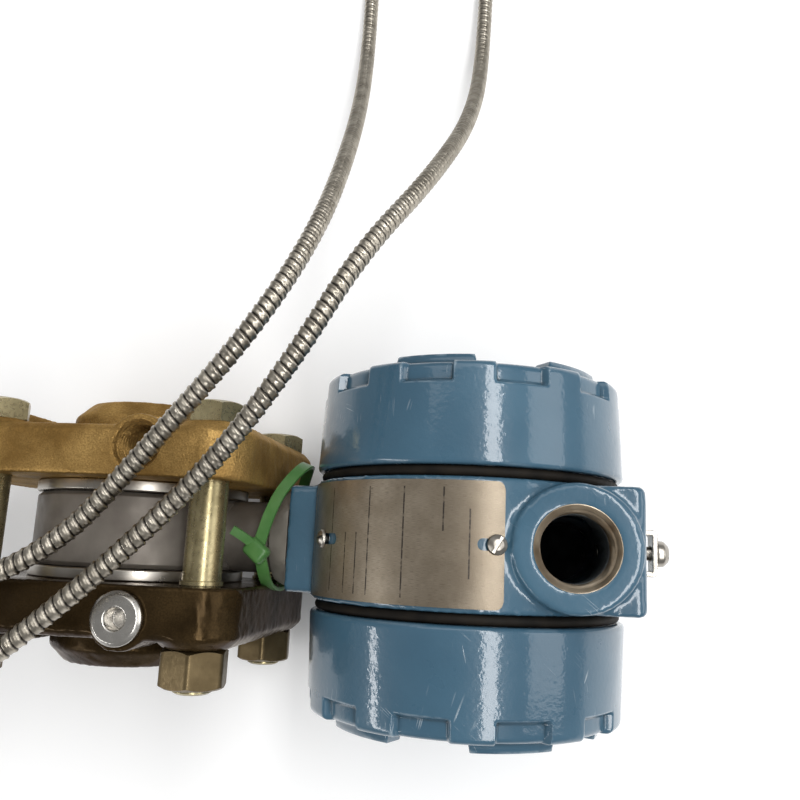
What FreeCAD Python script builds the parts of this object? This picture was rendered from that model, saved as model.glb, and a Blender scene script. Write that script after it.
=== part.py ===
# Differential pressure transmitter with two armoured capillaries, lying on its back.
# The neck runs along X, the two covers screw on along Y, and the front conduit entry faces up, along Z.
import FreeCAD
import Part
import math
import os
import re

doc = FreeCAD.newDocument("PressureTransmitter")
sheet = doc.addObject("Spreadsheet::Sheet", "Sizes")
nodes = []

# Driving dimensions, in millimetres and degrees
DRIVING = {
    "coverRadius": 48, "coverDraft": 1.1, "coverLength": 28.8, "coverWall": 4, "coverTop": 4.2,
    "coverEdge": 1.6, "sealThick": 1.42, "seamHalf": 17.7, "seamGap": 3, "pocketWide": 14.5,
    "pocketTall": 6.2, "pocketDeep": 2.3, "pocketCount": 11, "pocketTurnHigh": -11.9,
    "pocketTurnLow": -42.4, "lugTall": 3.1, "lugAngle": 34, "neckLength": 14, "partitionLow": 11.5,
    "partitionThick": 3, "conduitRadius": 10.2, "conduitMouth": 11, "conduitMouthDeep": 1.2,
    "bossRadius": 16.9, "bossEdge": 0.8, "blockHalf": 17, "blockEdge": 2, "padHalf": 16.3, "padDeep": 15.2,
    "padEdge": 1.6, "stemRadius": 11.4, "stemGap": 0.3, "lockNutFlats": 28, "lockNutThick": 5.6,
    "cellRadius": 33.5, "cellHalf": 11.4, "ringRadius": 34, "ringEdge": 0.8, "flangeFace": 15,
    "flangeThick": 15, "flangeHalf": 47.5, "flangeCorner": 12.5, "flangeBevel": 2,
    "railEdge": 3, "railCorner": 12.3, "railThick": 17,
    "railWide": 24.8, "hubRadius": 25, "hubThick": 26, "hubBevel": 5, "footLong": 12, "footInside": 3,
    "footHalf": 31, "footThick": 24, "footEdge": 4, "boltRadius": 5.56, "boltHoleRadius": 6,
    "boltHeadFlats": 15.9, "boltHeadThick": 6.3, "nutFlats": 17.46, "nutThick": 10.7, "boltTip": 1.5,
    "nutTurn": 22, "chamberRadius": 24, "chamberDeep": 3, "portRadius": 6.85, "portDeep": 14, "portBoss": 9,
    "portBossLong": 18, "portY": 24, "processY": 27, "bracketHalfZ": 20.65, "bracketRadius": 4.95,
    "bracketDeep": 14, "plugRadius": 7.5, "plugHead": 2.4, "plugSocket": 3, "plugSocketDeep": 6,
    "plateThick": 0.7, "plateStart": -70, "plateAngle": 85, "plateHalf": 16.4, "plateGap": 0.1,
    "plateScrewFirst": -56.6, "plateScrewSecond": 12.6, "plateScrewHead": 2.6, "plateScrewTall": 1.8,
    "plateScrewShank": 1.4, "plateScrewDeep": 5, "adjusterTurn": -22, "adjusterY": 8, "adjusterRadius": 3,
    "adjusterGap": 0.3, "blockTop": -14, "terminalThick": 9, "terminalPost": 3.5, "terminalPostX": 22,
    "terminalPostZ": 14, "terminalScrewPitch": 16, "terminalScrewRadius": 4, "terminalScrewTall": 3,
    "boardY": 21, "boardThick": 1.6, "boardPostRadius": 2.5, "clampWide": 14, "clampDeep": 9,
    "clampTall": 8.5, "clampWall": 1.6, "groundHead": 4, "groundTall": 4, "groundShank": 2.2,
    "groundInside": 10, "rearPlugLength": 13, "rearPlugSocket": 5, "rearPlugSocketDeep": 7,
    "fittingFlats": 22, "fittingHex": 11, "fittingSleeve": 5.5, "fittingSleeveLong": 12,
    "fittingInside": 12, "tieRadius": 12, "tieThick": 1.2, "tieWide": 4.8, "tieHead": 6.5,
    "tieHeadTall": 4.5, "tieTail": 20, "tieTailTurn": 22, "capillaryRadius": 3, "coilRadius": 33,
    "coilLayers": 2, "coilGap": 0.2, "endTail": 16, "endSleeve": 4.5, "endSleeveLong": 8, "endFlats": 18,
    "endHex": 12, "endStub": 24, "endStubRadius": 6.5, "threadGap": 0.5, "screwGap": 0.1,
    "plateHoleGap": 0.2, "fitGap": 0.05, "screwShort": 0.5, "adjusterShort": 0.6, "adjusterSlot": 1,
    "adjusterSlotDeep": 1.6, "tieHeadEdge": 0.8, "tieHeadOff": 3, "tieTailOff": 2, "coverStep": 0.5,
    "neckStep": 4, "neckWall": 5, "sealInset": 2.8, "lugInset": 7.5, "lugWide": 7, "conduitInset": 16.5,
    "faceInset": 0.5, "blockOut": 2, "blockInset": 8.5, "padOut": 7, "stemInside": 4.5, "adjusterIn": 1.5,
    "terminalGap": 2.5, "boardGap": 3.5, "boardPostIn": 7, "plugProud": 2.7, "boltInset": 12.5,
    "portInset": 30.5, "flangeGap": 1.1, "tieOff": 7.4, "conduitDeep": 14, "passageRadius": 9.4,
    "rearRadius": 10.5, "flatTouch": 0.01,
}

# Sizes that follow from others
FOLLOWING = {
    "bodyRadius": "coverRadius - coverStep",
    "neckRadius": "bodyRadius - neckStep",
    "roomRadius": "neckRadius - neckWall",
    "coverRoom": "roomRadius + threadGap",
    "sealRadius": "coverRadius - sealInset",
    "lugOuter": "coverRadius - lugInset",
    "lugInner": "lugOuter - lugWide",
    "conduitX": "bodyRadius - conduitInset",
    "conduitFace": "bodyRadius - faceInset",
    "blockRight": "bodyRadius + blockOut",
    "blockDeep": "bodyRadius - blockInset",
    "padFace": "bodyRadius + padOut",
    "stemEnd": "bodyRadius - stemInside",
    "adjusterInner": "roomRadius - adjusterIn",
    "terminalRadius": "roomRadius - terminalGap",
    "boardRadius": "roomRadius - boardGap",
    "boardPostRing": "boardRadius - boardPostIn",
    "flangeDeep": "coverRadius - plugProud",
    "boltHalfX": "flangeHalf - boltInset",
    "boltHalfZ": "flangeDeep - boltInset",
    "portX": "flangeHalf - portInset",
    "cellX": "0 - padFace - lockNutThick - flangeGap - flangeHalf",
    "tieX": "0 - padFace - lockNutThick - tieOff",
}
for row, (alias, value) in enumerate(list(DRIVING.items()) + list(FOLLOWING.items()), start=1):
    sheet.set("A%d" % row, alias)
    sheet.set("B%d" % row, "=%s" % value)
    sheet.setAlias("B%d" % row, alias)
doc.recompute()

# The origin is the bottom centre of the box round the instrument without its capillaries.
FOOT_FACE = "cellX - flangeHalf - footLong"
LEFT_END = "(%s - fittingHex - fittingSleeveLong)" % FOOT_FACE
RIGHT_END = "(blockRight + clampTall + groundTall)"
ORIGIN_X = "(0 - (%s + %s) / 2)" % (LEFT_END, RIGHT_END)
ORIGIN_Z = "coverRadius"
ALONG_X = FreeCAD.Rotation(FreeCAD.Vector(0, 1, 0), 90)
ALONG_Y = FreeCAD.Rotation(FreeCAD.Vector(1, 0, 0), -90)
AGAINST_X = FreeCAD.Rotation(FreeCAD.Vector(0, 1, 0), -90)
AGAINST_Y = FreeCAD.Rotation(FreeCAD.Vector(1, 0, 0), 90)
AGAINST_Z = FreeCAD.Rotation(FreeCAD.Vector(1, 0, 0), 180)
UPRIGHT = FreeCAD.Rotation()
FLAT_UP = FreeCAD.Rotation(FreeCAD.Vector(0, 0, 1), 30)


def bound(expression):
    # Puts the sheet's name before every alias of an expression.
    return re.sub(r"\b([a-z][A-Za-z]+)\b(?!\()", r"Sizes.\1", expression)


def size(alias):
    # The value of one of the sheet's cells, for what is set in code.
    return float(getattr(sheet, alias))


# A vertex holds the shift from the housing's centre to the origin, for the routes that are set in code.
origin = doc.addObject("Part::Vertex", "FrameOrigin")
origin.setExpression("X", bound(ORIGIN_X))
origin.setExpression("Z", bound(ORIGIN_Z))
outlet = doc.addObject("Part::Vertex", "FittingEnd")
outlet.setExpression("X", bound(LEFT_END))
outlet.setExpression("Y", bound("processY"))
doc.recompute()
shift = FreeCAD.Vector(origin.X.Value, 0, origin.Z.Value)


def primitive(kind, name, sizes, at=("0", "0", "0"), turn=UPRIGHT):
    # A Part primitive placed from the centre of the housing.
    piece = doc.addObject("Part::" + kind, name)
    for prop, expression in sizes.items():
        piece.setExpression(prop, bound(expression))
    piece.Placement = FreeCAD.Placement(FreeCAD.Vector(), turn)
    shifted = ("%s + %s" % (at[0], ORIGIN_X), at[1], "%s + %s" % (at[2], ORIGIN_Z))
    for letter, expression in zip("xyz", shifted):
        piece.setExpression("Placement.Base." + letter, bound(expression))
    return piece


def rod(name, radius, length, at, turn=UPRIGHT):
    return primitive("Cylinder", name, {"Radius": radius, "Height": length}, at, turn)


def hexagon(name, flats, length, at, turn=UPRIGHT):
    sizes = {"Circumradius": "(%s) / sqrt(3)" % flats, "Height": length}
    prism = primitive("Prism", name, sizes, at, turn)
    prism.Polygon = 6
    return prism


def brick(name, low, high):
    # A box from its low corner to its high corner, in expressions.
    sizes = {}
    for prop, start, end in zip(("Length", "Width", "Height"), low, high):
        sizes[prop] = "(%s) - (%s)" % (end, start)
    return primitive("Box", name, sizes, low)


def fused(name, *pieces):
    whole = doc.addObject("Part::MultiFuse", name)
    whole.Shapes = list(pieces)
    whole.Refine = True
    return whole


def cut(name, base, *tools):
    # The base less one tool, or less several that are joined first.
    result = doc.addObject("Part::Cut", name)
    result.Base = base
    result.Tool = tools[0] if len(tools) == 1 else fused(name + "_tools", *tools)
    result.Refine = True
    return result


def mirrored(name, source, normal):
    copy = doc.addObject("Part::Mirroring", name)
    copy.Source = source
    copy.Normal = normal
    return copy


def rounded(name, base, radius, choose, kind="Fillet"):
    # Fillets or chamfers the edges of a base that the test picks.
    doc.recompute()
    worked = doc.addObject("Part::" + kind, name)
    worked.Base = base
    amount = size(radius)
    picked = [i for i, edge in enumerate(base.Shape.Edges, start=1) if choose(edge)]
    worked.Edges = [(i, amount, amount) for i in picked]
    return worked


def runs_along(edge, axis):
    # True where a straight edge runs along an axis.
    if edge.Curve.TypeId != "Part::GeomLine":
        return False
    return abs(edge.tangentAt(edge.FirstParameter)[axis]) > 0.99


def node(label, piece):
    piece.Label = label
    nodes.append(piece)
    return piece


def radial_turn(degrees):
    # Turns +Z towards +X round the housing's axis.
    return FreeCAD.Rotation(FreeCAD.Vector(0, 1, 0), degrees)


def radial_point(alias, radius, across, along):
    # A point at a radius and an angle round the housing's axis, set off sideways by a width.
    x = "%s * sin(%s) - %s * cos(%s)" % (radius, alias, across, alias)
    z = "%s * cos(%s) + %s * sin(%s)" % (radius, alias, across, alias)
    return (x, along, z)


# Covers: a drafted cap with pockets round its rim and raised lugs over every second pocket
def make_cover(label, first_pocket):
    mouth = "seamHalf + seamGap"
    blank = primitive("Cone", label + "_blank", {"Radius1": "coverRadius", "Radius2": "coverRadius - coverDraft",
                      "Height": "coverLength"}, ("0", mouth, "0"), ALONG_Y)
    rim = rounded(label + "_rim", blank, "coverEdge", lambda edge: edge.Curve.TypeId == "Part::GeomCircle")
    end = "(%s + coverLength)" % mouth
    step = 360 / int(size("pocketCount"))
    lugs = []
    pockets = []
    for number in range(int(size("pocketCount"))):
        degrees = "(%s + %r)" % (first_pocket, number * step)
        pocket = primitive("Box", "%s_pocket_%d" % (label, number), {"Length": "pocketWide",
                           "Width": "pocketTall + lugTall", "Height": "coverWall"},
                           radial_point(degrees, "(coverRadius - coverDraft - pocketDeep)", "pocketWide / 2",
                                        end + " - pocketTall"), radial_turn(size(first_pocket) + number * step))
        pockets.append(pocket)
        if number % 2 == 0 and number < size("pocketCount") - 1:
            start = FreeCAD.Rotation(FreeCAD.Vector(0, 0, 1), size(first_pocket) + number * step - 90
                                     - size("lugAngle") / 2)
            lugs.append(primitive("Cylinder", "%s_lug_%d" % (label, number), {"Radius": "lugOuter",
                        "Height": "lugTall + coverEdge", "Angle": "lugAngle"}, ("0", end + " - coverEdge", "0"),
                        ALONG_Y.multiply(start)))
    crown = cut(label + "_crown", fused(label + "_lugs", *lugs),
                rod(label + "_crown_room", "lugInner", "lugTall * 3", ("0", end + " - lugTall", "0"), ALONG_Y))
    thread_room = rod(label + "_thread_room", "neckRadius + threadGap", "neckLength", ("0", mouth, "0"), ALONG_Y)
    room = rod(label + "_room", "coverRoom", "coverLength - coverTop", ("0", mouth, "0"), ALONG_Y)
    return cut(label + "_cap", fused(label + "_raised", rim, crown), thread_room, room, *pockets)


circuit_cover = node("circuit_cover", make_cover("circuit", "pocketTurnHigh"))
terminal_cover = node("terminal_cover", mirrored("terminal_mirror", make_cover("terminal", "pocketTurnLow"),
                                                 FreeCAD.Vector(0, 1, 0)))
for label, side in (("circuit_cover_seal", "1"), ("terminal_cover_seal", "-1")):
    node(label, primitive("Torus", label + "_ring", {"Radius1": "sealRadius", "Radius2": "sealThick"},
                          ("0", "(seamHalf + seamGap / 2) * %s" % side, "0"), ALONG_Y))


# Housing: a short drum with two threaded necks, a conduit block, a neck pad and two compartments
def make_housing():
    drum = rod("housing_drum", "bodyRadius", "seamHalf * 2", ("0", "0 - seamHalf", "0"), ALONG_Y)
    neck = rod("housing_necks", "neckRadius", "(seamHalf + neckLength) * 2",
               ("0", "0 - seamHalf - neckLength", "0"), ALONG_Y)
    block = rounded("housing_block", brick("housing_block_blank", ("0", "0 - blockHalf", "0 - blockDeep"),
                    ("blockRight", "blockHalf", "blockDeep")), "blockEdge",
                    lambda edge: edge.CenterOfMass.x > shift.x + size("blockRight") / 2)
    pad = rounded("housing_pad", brick("housing_pad_blank", ("0 - padFace", "0 - padHalf", "0 - padDeep"),
                  ("0", "padHalf", "padDeep")), "padEdge", lambda edge: runs_along(edge, 0))
    boss = rounded("housing_boss", rod("housing_boss_blank", "bossRadius", "conduitFace * 2",
                   ("conduitX", "0", "0 - conduitFace")), "bossEdge",
                   lambda edge: edge.Curve.TypeId == "Part::GeomCircle")
    outside = fused("housing_outside", drum, neck, block, pad, boss)
    terminal_room = rod("housing_terminal_room", "roomRadius", "partitionLow + seamHalf + neckLength",
                        ("0", "0 - seamHalf - neckLength", "0"), ALONG_Y)
    circuit_room = rod("housing_circuit_room", "roomRadius",
                       "seamHalf + neckLength - partitionLow - partitionThick",
                       ("0", "partitionLow + partitionThick", "0"), ALONG_Y)
    conduit = rod("housing_conduit", "conduitRadius", "conduitDeep", ("conduitX", "0", "conduitFace - conduitDeep"))
    passage = rod("housing_passage", "passageRadius", "conduitFace * 2 - conduitDeep",
                  ("conduitX", "0", "0 - conduitFace"))
    rear = rod("housing_rear_entry", "rearRadius", "rearPlugLength", ("conduitX", "0", "0 - conduitFace"))
    mouth = primitive("Cone", "housing_mouth", {"Radius1": "conduitRadius", "Radius2": "conduitMouth",
                      "Height": "conduitMouthDeep"}, ("conduitX", "0", "conduitFace - conduitMouthDeep"))
    stem = rod("housing_stem_hole", "stemRadius + stemGap", "padFace", ("0 - padFace", "0", "0"), ALONG_X)
    holes = [terminal_room, circuit_room, conduit, passage, rear, mouth, stem]
    for number, side in ((1, "1"), (2, "-1")):
        holes.append(rod("adjuster_hole_%d" % number, "adjusterRadius + adjusterGap", "bodyRadius",
                         radial_point("adjusterTurn", "adjusterInner / 2", "0", "adjusterY * " + side),
                         radial_turn(size("adjusterTurn"))))
    for number, angle in ((1, "plateScrewFirst"), (2, "plateScrewSecond")):
        holes.append(rod("plate_screw_hole_%d" % number, "plateScrewShank + screwGap", "plateScrewDeep * 2",
                         radial_point(angle, "(bodyRadius - plateScrewDeep)", "0", "0"), radial_turn(size(angle))))
    holes.append(rod("ground_hole", "groundShank + screwGap", "groundInside * 2",
                     ("blockRight - groundInside", "0", "0"), ALONG_X))
    return cut("housing_shell", outside, *holes)


housing = node("electronics_housing", make_housing())

# Nameplate: a curved plate on the drum, held by two screws, with slots left to the scene
plate_start = FreeCAD.Rotation(FreeCAD.Vector(0, 0, 1), size("plateStart") - 90)
plate_outer = primitive("Cylinder", "plate_outer", {"Radius": "bodyRadius + plateGap + plateThick",
                        "Height": "plateHalf * 2", "Angle": "plateAngle"}, ("0", "0 - plateHalf", "0"),
                        ALONG_Y.multiply(plate_start))
plate_room = rod("plate_room", "bodyRadius + plateGap", "plateHalf * 4", ("0", "0 - plateHalf * 2", "0"), ALONG_Y)
plate_holes = []
for number, angle in ((1, "plateScrewFirst"), (2, "plateScrewSecond")):
    plate_holes.append(rod("plate_hole_%d" % number, "plateScrewShank + plateHoleGap", "plateScrewDeep * 2",
                           radial_point(angle, "(bodyRadius - plateScrewDeep)", "0", "0"),
                           radial_turn(size(angle))))
    shank = rod("plate_screw_shank_%d" % number, "plateScrewShank", "plateScrewDeep + plateThick + plateGap * 2",
                radial_point(angle, "(bodyRadius - plateScrewDeep + screwShort)", "0", "0"), radial_turn(size(angle)))
    head = rod("plate_screw_head_%d" % number, "plateScrewHead", "plateScrewTall",
               radial_point(angle, "(bodyRadius + plateThick + plateGap)", "0", "0"), radial_turn(size(angle)))
    node("nameplate_screw_%d" % number, fused("plate_screw_%d" % number, shank, head))
node("nameplate", cut("plate_sheet", plate_outer, plate_room, *plate_holes))

# Zero and span adjusters: slotted shafts through the wall behind the nameplate
for label, side in (("zero_adjuster", "1"), ("span_adjuster", "-1")):
    shaft = rod(label + "_shaft", "adjusterRadius", "bodyRadius - adjusterInner - adjusterShort",
                radial_point("adjusterTurn", "adjusterInner", "0", "adjusterY * " + side),
                radial_turn(size("adjusterTurn")))
    slot_at = radial_point("adjusterTurn", "(bodyRadius - adjusterShort - adjusterSlotDeep)", "adjusterRadius * 2",
                           "adjusterY * %s - adjusterSlot / 2" % side)
    slot = primitive("Box", label + "_slot", {"Length": "adjusterRadius * 4", "Width": "adjusterSlot",
                     "Height": "adjusterSlotDeep * 2"}, slot_at, radial_turn(size("adjusterTurn")))
    node(label, cut(label + "_slotted", shaft, slot))

# Terminal block on two posts, with three terminal screws
block_disc = rod("terminal_disc", "terminalRadius", "terminalThick", ("0", "blockTop - terminalThick", "0"), ALONG_Y)
block_posts = []
for number, side in ((1, "1"), (2, "-1")):
    block_posts.append(rod("terminal_post_%d" % number, "terminalPost", "partitionLow - blockTop",
                           ("0 - terminalPostX", "blockTop", "terminalPostZ * " + side), ALONG_Y))
node("terminal_block", fused("terminal_block_body", block_disc, *block_posts))
for number in range(3):
    node("terminal_screw_%d" % (number + 1), rod("terminal_screw_body_%d" % number, "terminalScrewRadius",
         "terminalScrewTall", ("0", "blockTop - terminalThick", "terminalScrewPitch * %d" % (number - 1)), AGAINST_Y))

# Amplifier board on three posts
node("amplifier_board", rod("board_disc", "boardRadius", "boardThick", ("0", "boardY", "0"), ALONG_Y))
for number in range(3):
    turn = "(%d)" % (number * 120 + 30)
    post_x, post_y, post_z = radial_point(turn, "boardPostRing", "0", "partitionLow + partitionThick")
    node("board_post_%d" % (number + 1), rod("board_post_body_%d" % number, "boardPostRadius",
         "boardY - partitionLow - partitionThick", (post_x, post_y, post_z), ALONG_Y))

# Ground clamp and its screw on the end of the conduit block
clamp_outer = brick("clamp_outer", ("blockRight", "0 - clampWide / 2", "0 - clampDeep / 2"),
                    ("blockRight + clampTall", "clampWide / 2", "clampDeep / 2"))
clamp_round = rounded("clamp_round", clamp_outer, "clampWall", lambda edge: runs_along(edge, 2)
                      and edge.CenterOfMass.x > shift.x + size("blockRight") + 1)
clamp_gap = brick("clamp_gap", ("blockRight - clampWall", "clampWall - clampWide / 2", "0 - clampDeep"),
                  ("blockRight + clampTall - clampWall", "clampWide / 2 - clampWall", "clampDeep"))
clamp_hole = rod("clamp_hole", "groundShank + plateHoleGap", "clampTall * 2", ("blockRight", "0", "0"), ALONG_X)
node("ground_clamp", cut("clamp_body", clamp_round, clamp_gap, clamp_hole))
ground_shank = rod("ground_shank", "groundShank", "groundInside + clampTall",
                   ("blockRight - groundInside + screwShort", "0", "0"), ALONG_X)
ground_head = rod("ground_head", "groundHead", "groundTall", ("blockRight + clampTall", "0", "0"), ALONG_X)
node("ground_screw", fused("ground_screw_body", ground_shank, ground_head))

# Rear conduit plug, flush with the boss that the instrument lies on
rear_plug = rod("rear_plug", "rearRadius - fitGap", "rearPlugLength", ("conduitX", "0", "0 - conduitFace"))
rear_socket = hexagon("rear_socket", "rearPlugSocket * 2", "rearPlugSocketDeep", ("conduitX", "0", "0 - conduitFace"))
node("rear_conduit_plug", cut("rear_plug_body", rear_plug, rear_socket))

# Sensor cell with its stem, and the two isolator rings
cell_body = rod("cell_body", "cellRadius", "cellHalf * 2", ("cellX", "0 - cellHalf", "0"), ALONG_Y)
stem_body = rod("stem_body", "stemRadius", "0 - cellX - stemEnd", ("cellX", "0", "0"), ALONG_X)
node("sensor_module", fused("sensor_body", cell_body, stem_body))
isolator_blank = rod("isolator_blank", "ringRadius", "flangeFace - cellHalf", ("cellX", "cellHalf", "0"), ALONG_Y)
isolator = node("isolator_high", rounded("isolator_ring", isolator_blank, "ringEdge",
                lambda edge: edge.Curve.TypeId == "Part::GeomCircle", "Chamfer"))
node("isolator_low", mirrored("isolator_mirror", isolator, FreeCAD.Vector(0, 1, 0)))


# Process flange: a bevelled plate with two bolt rails, a hub, a diaphragm chamber and its ports
def make_flange():
    plate = brick("flange_plate", ("cellX - flangeHalf", "flangeFace", "0 - flangeDeep"),
                  ("cellX + flangeHalf", "flangeFace + flangeThick", "flangeDeep"))
    corners = rounded("flange_corners", plate, "flangeCorner", lambda edge: runs_along(edge, 1))
    top = size("flangeFace") + size("flangeThick")
    bevel = rounded("flange_bevel", corners, "flangeBevel",
                    lambda edge: abs(edge.CenterOfMass.y - top) < size("flatTouch"), "Chamfer")
    hub_blank = rod("flange_hub_blank", "hubRadius", "hubThick", ("cellX", "flangeFace", "0"), ALONG_Y)
    hub_top = size("flangeFace") + size("hubThick")
    hub = rounded("flange_hub", hub_blank, "hubBevel",
                  lambda edge: abs(edge.CenterOfMass.y - hub_top) < size("flatTouch"), "Chamfer")
    foot_blank = brick("flange_foot_blank", (FOOT_FACE, "flangeFace", "0 - footHalf"),
                       (FOOT_FACE + " + footLong + footInside", "flangeFace + footThick", "footHalf"))
    foot = rounded("flange_foot", foot_blank, "footEdge", lambda edge: runs_along(edge, 0)
                   and edge.CenterOfMass.y > size("flangeFace") + 1)
    body = [bevel, hub, foot]
    rail_top = size("flangeFace") + size("railThick")
    for label, low, high in (("near", "cellX + flangeHalf - railWide", "cellX + flangeHalf"),
                             ("far", "cellX - flangeHalf", "cellX - flangeHalf + railWide")):
        blank = brick("flange_rail_blank_" + label, (low, "flangeFace", "0 - flangeDeep"),
                      (high, "flangeFace + railThick", "flangeDeep"))
        upright = rounded("flange_rail_corners_" + label, blank, "railCorner", lambda edge: runs_along(edge, 1))
        body.append(rounded("flange_rail_" + label, upright, "railEdge",
                            lambda edge: abs(edge.CenterOfMass.y - rail_top) < size("flatTouch"), "Chamfer"))
    holes = [rod("flange_chamber", "chamberRadius", "chamberDeep", ("cellX", "flangeFace", "0"), ALONG_Y)]
    for number, (side_x, side_z) in enumerate((("1", "1"), ("1", "-1"), ("-1", "1"), ("-1", "-1"))):
        at = ("cellX + boltHalfX * " + side_x, "flangeFace", "boltHalfZ * " + side_z)
        holes.append(rod("flange_bolt_hole_%d" % number, "boltHoleRadius", "hubThick", at, ALONG_Y))
    holes.append(rod("flange_process_port", "portRadius", "footLong + footInside",
                     (FOOT_FACE, "processY", "0"), ALONG_X))
    for number, side in enumerate(("1", "-1")):
        holes.append(rod("flange_bracket_hole_%d" % number, "bracketRadius", "bracketDeep",
                         (FOOT_FACE, "processY", "bracketHalfZ * " + side), ALONG_X))
    for name, side, turn in (("front", "1", AGAINST_Z), ("rear", "-1", UPRIGHT)):
        at = ("cellX + portX", "portY", "flangeDeep * " + side)
        body.append(rod("flange_%s_boss" % name, "portBoss", "portBossLong", at, turn))
        holes.append(rod("flange_%s_port" % name, "portRadius", "portDeep", at, turn))
    return cut("flange_casting", fused("flange_solid", *body), *holes)


high_flange = node("high_flange", make_flange())
node("low_flange", mirrored("low_flange_mirror", high_flange, FreeCAD.Vector(0, 1, 0)))

# Flange bolts and nuts
number = 0
for side_x in ("1", "-1"):
    for side_z in ("1", "-1"):
        number += 1
        x = "cellX + boltHalfX * " + side_x
        z = "boltHalfZ * " + side_z
        outer = "flangeFace + railThick"
        head = hexagon("bolt_head_%d" % number, "boltHeadFlats", "boltHeadThick", (x, outer, z), ALONG_Y)
        shank = rod("bolt_shank_%d" % number, "boltRadius", "(%s) * 2 + nutThick + boltTip" % outer,
                    (x, outer, z), AGAINST_Y)
        node("flange_bolt_%d" % number, fused("bolt_%d" % number, head, shank))
        nut_at = (x, "0 - (%s)" % outer, z)
        nut_turn = FreeCAD.Rotation(FreeCAD.Vector(0, 0, 1), size("nutTurn") * (number % 2))
        nut = hexagon("nut_blank_%d" % number, "nutFlats", "nutThick", nut_at, AGAINST_Y.multiply(nut_turn))
        hole = rod("nut_hole_%d" % number, "boltRadius + fitGap", "nutThick", nut_at, AGAINST_Y)
        node("flange_nut_%d" % number, cut("nut_%d" % number, nut, hole))

# Lock nut on the stem
lock_blank = hexagon("lock_nut_blank", "lockNutFlats", "lockNutThick", ("0 - padFace - stemGap", "0", "0"),
                     AGAINST_X.multiply(FLAT_UP))
lock_hole = rod("lock_nut_hole", "stemRadius + fitGap", "lockNutThick * 3",
                ("0 - padFace - lockNutThick * 2", "0", "0"), ALONG_X)
node("lock_nut", cut("lock_nut_body", lock_blank, lock_hole))


# Vent and drain plugs in the side ports; the instrument lies on the rear ones and on the covers
def make_plug(name, side_y, side_z, proud):
    turn = AGAINST_Z if side_z == "1" else UPRIGHT
    face = "(flangeDeep + %s) * %s" % (proud, side_z)
    at = ("cellX + portX", "portY * " + side_y, face)
    body = rod(name + "_body", "portRadius - fitGap", "portDeep - plugHead + " + proud, at, turn)
    head = rod(name + "_head", "plugRadius", proud + " - fitGap", at, turn)
    return cut(name + "_plug", fused(name + "_headed", body, head),
               rod(name + "_socket", "plugSocket", "plugSocketDeep", at, turn))


node("vent_plug_low_front", make_plug("low_front", "-1", "1", "plugHead"))
node("vent_plug_low_rear", make_plug("low_rear", "-1", "-1", "plugProud"))
node("vent_plug_high_rear", make_plug("high_rear", "1", "-1", "plugProud"))

# Cable tie pulled round the stem, with its head in front and its tail led off towards the housing
tie_outer = rod("tie_outer", "tieRadius + tieThick", "tieWide", ("tieX", "0", "0"), ALONG_X)
tie_inner = rod("tie_inner", "tieRadius", "tieWide * 3", ("tieX - tieWide", "0", "0"), ALONG_X)
tie_head = brick("tie_head", ("tieX - tieHeadEdge", "0 - tieHead / 2 - tieHeadOff", "tieRadius"),
                 ("tieX + tieWide + tieHeadEdge", "tieHead / 2 - tieHeadOff", "tieRadius + tieHeadTall"))
tie_tail = primitive("Box", "tie_tail", {"Length": "tieWide", "Width": "tieTail", "Height": "tieThick"},
                     ("tieX", "0 - tieTailOff", "tieRadius + tieHeadTall / 2"),
                     FreeCAD.Rotation(FreeCAD.Vector(0, 0, 1), 0 - size("tieTailTurn")))
node("cable_tie", fused("tie_whole", cut("tie_band", tie_outer, tie_inner), tie_head, tie_tail))


# Capillaries: a fitting in each process port, an armoured tube, its put-away coil and its end fitting
def make_fitting(name, side):
    at = (FOOT_FACE, "processY * " + side, "0")
    inside = rod(name + "_thread", "portRadius - fitGap", "fittingInside", at, ALONG_X)
    collar = hexagon(name + "_collar", "fittingFlats", "fittingHex", at, AGAINST_X)
    sleeve = rod(name + "_sleeve", "fittingSleeve", "fittingSleeveLong", (FOOT_FACE + " - fittingHex", at[1], "0"),
                 AGAINST_X)
    return fused(name + "_fitting", inside, collar, sleeve)


def smooth_path(points):
    # Straight runs joined by tangent arcs, each as large as its two runs allow.
    edges = []
    start = points[0]
    for before, corner, after in zip(points, points[1:], points[2:]):
        arrive = (corner - before).normalize()
        leave = (after - corner).normalize()
        half = arrive.getAngle(leave) / 2
        reach = 0.45 * min((corner - before).Length, (after - corner).Length)
        entry = corner - arrive * reach
        outgoing = corner + leave * reach
        inward = (leave - arrive).normalize()
        middle = corner + inward * (reach / math.tan(half) * (1 / math.cos(half) - 1))
        edges.append(Part.makeLine(start, entry))
        edges.append(Part.Arc(entry, middle, outgoing).toShape())
        start = outgoing
    edges.append(Part.makeLine(start, points[-1]))
    return Part.Wire(edges)


def make_capillary(label, points):
    wire = smooth_path(points)
    radius = size("capillaryRadius")
    heading = points[1] - points[0]
    ring = Part.Wire(Part.makeCircle(radius, points[0], heading))
    tube = doc.addObject("Part::Feature", label + "_tube")
    tube.Shape = wire.makePipeShell([ring], True, True)
    exact = math.pi * radius * radius * wire.Length
    if abs(tube.Shape.Volume / exact - 1) > 0.01:
        raise RuntimeError(label + " tube has the wrong volume")
    return tube, wire.Length


def make_coil(label, x, y):
    tall = "capillaryRadius * 2 * coilLayers"
    ring = rod(label + "_coil_ring", "coilRadius + capillaryRadius", tall, (x, y, "0 - coverRadius"))
    room = rod(label + "_coil_room", "coilRadius - capillaryRadius", tall, (x, y, "0 - coverRadius"))
    return cut(label + "_coil_body", ring, room)


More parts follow.
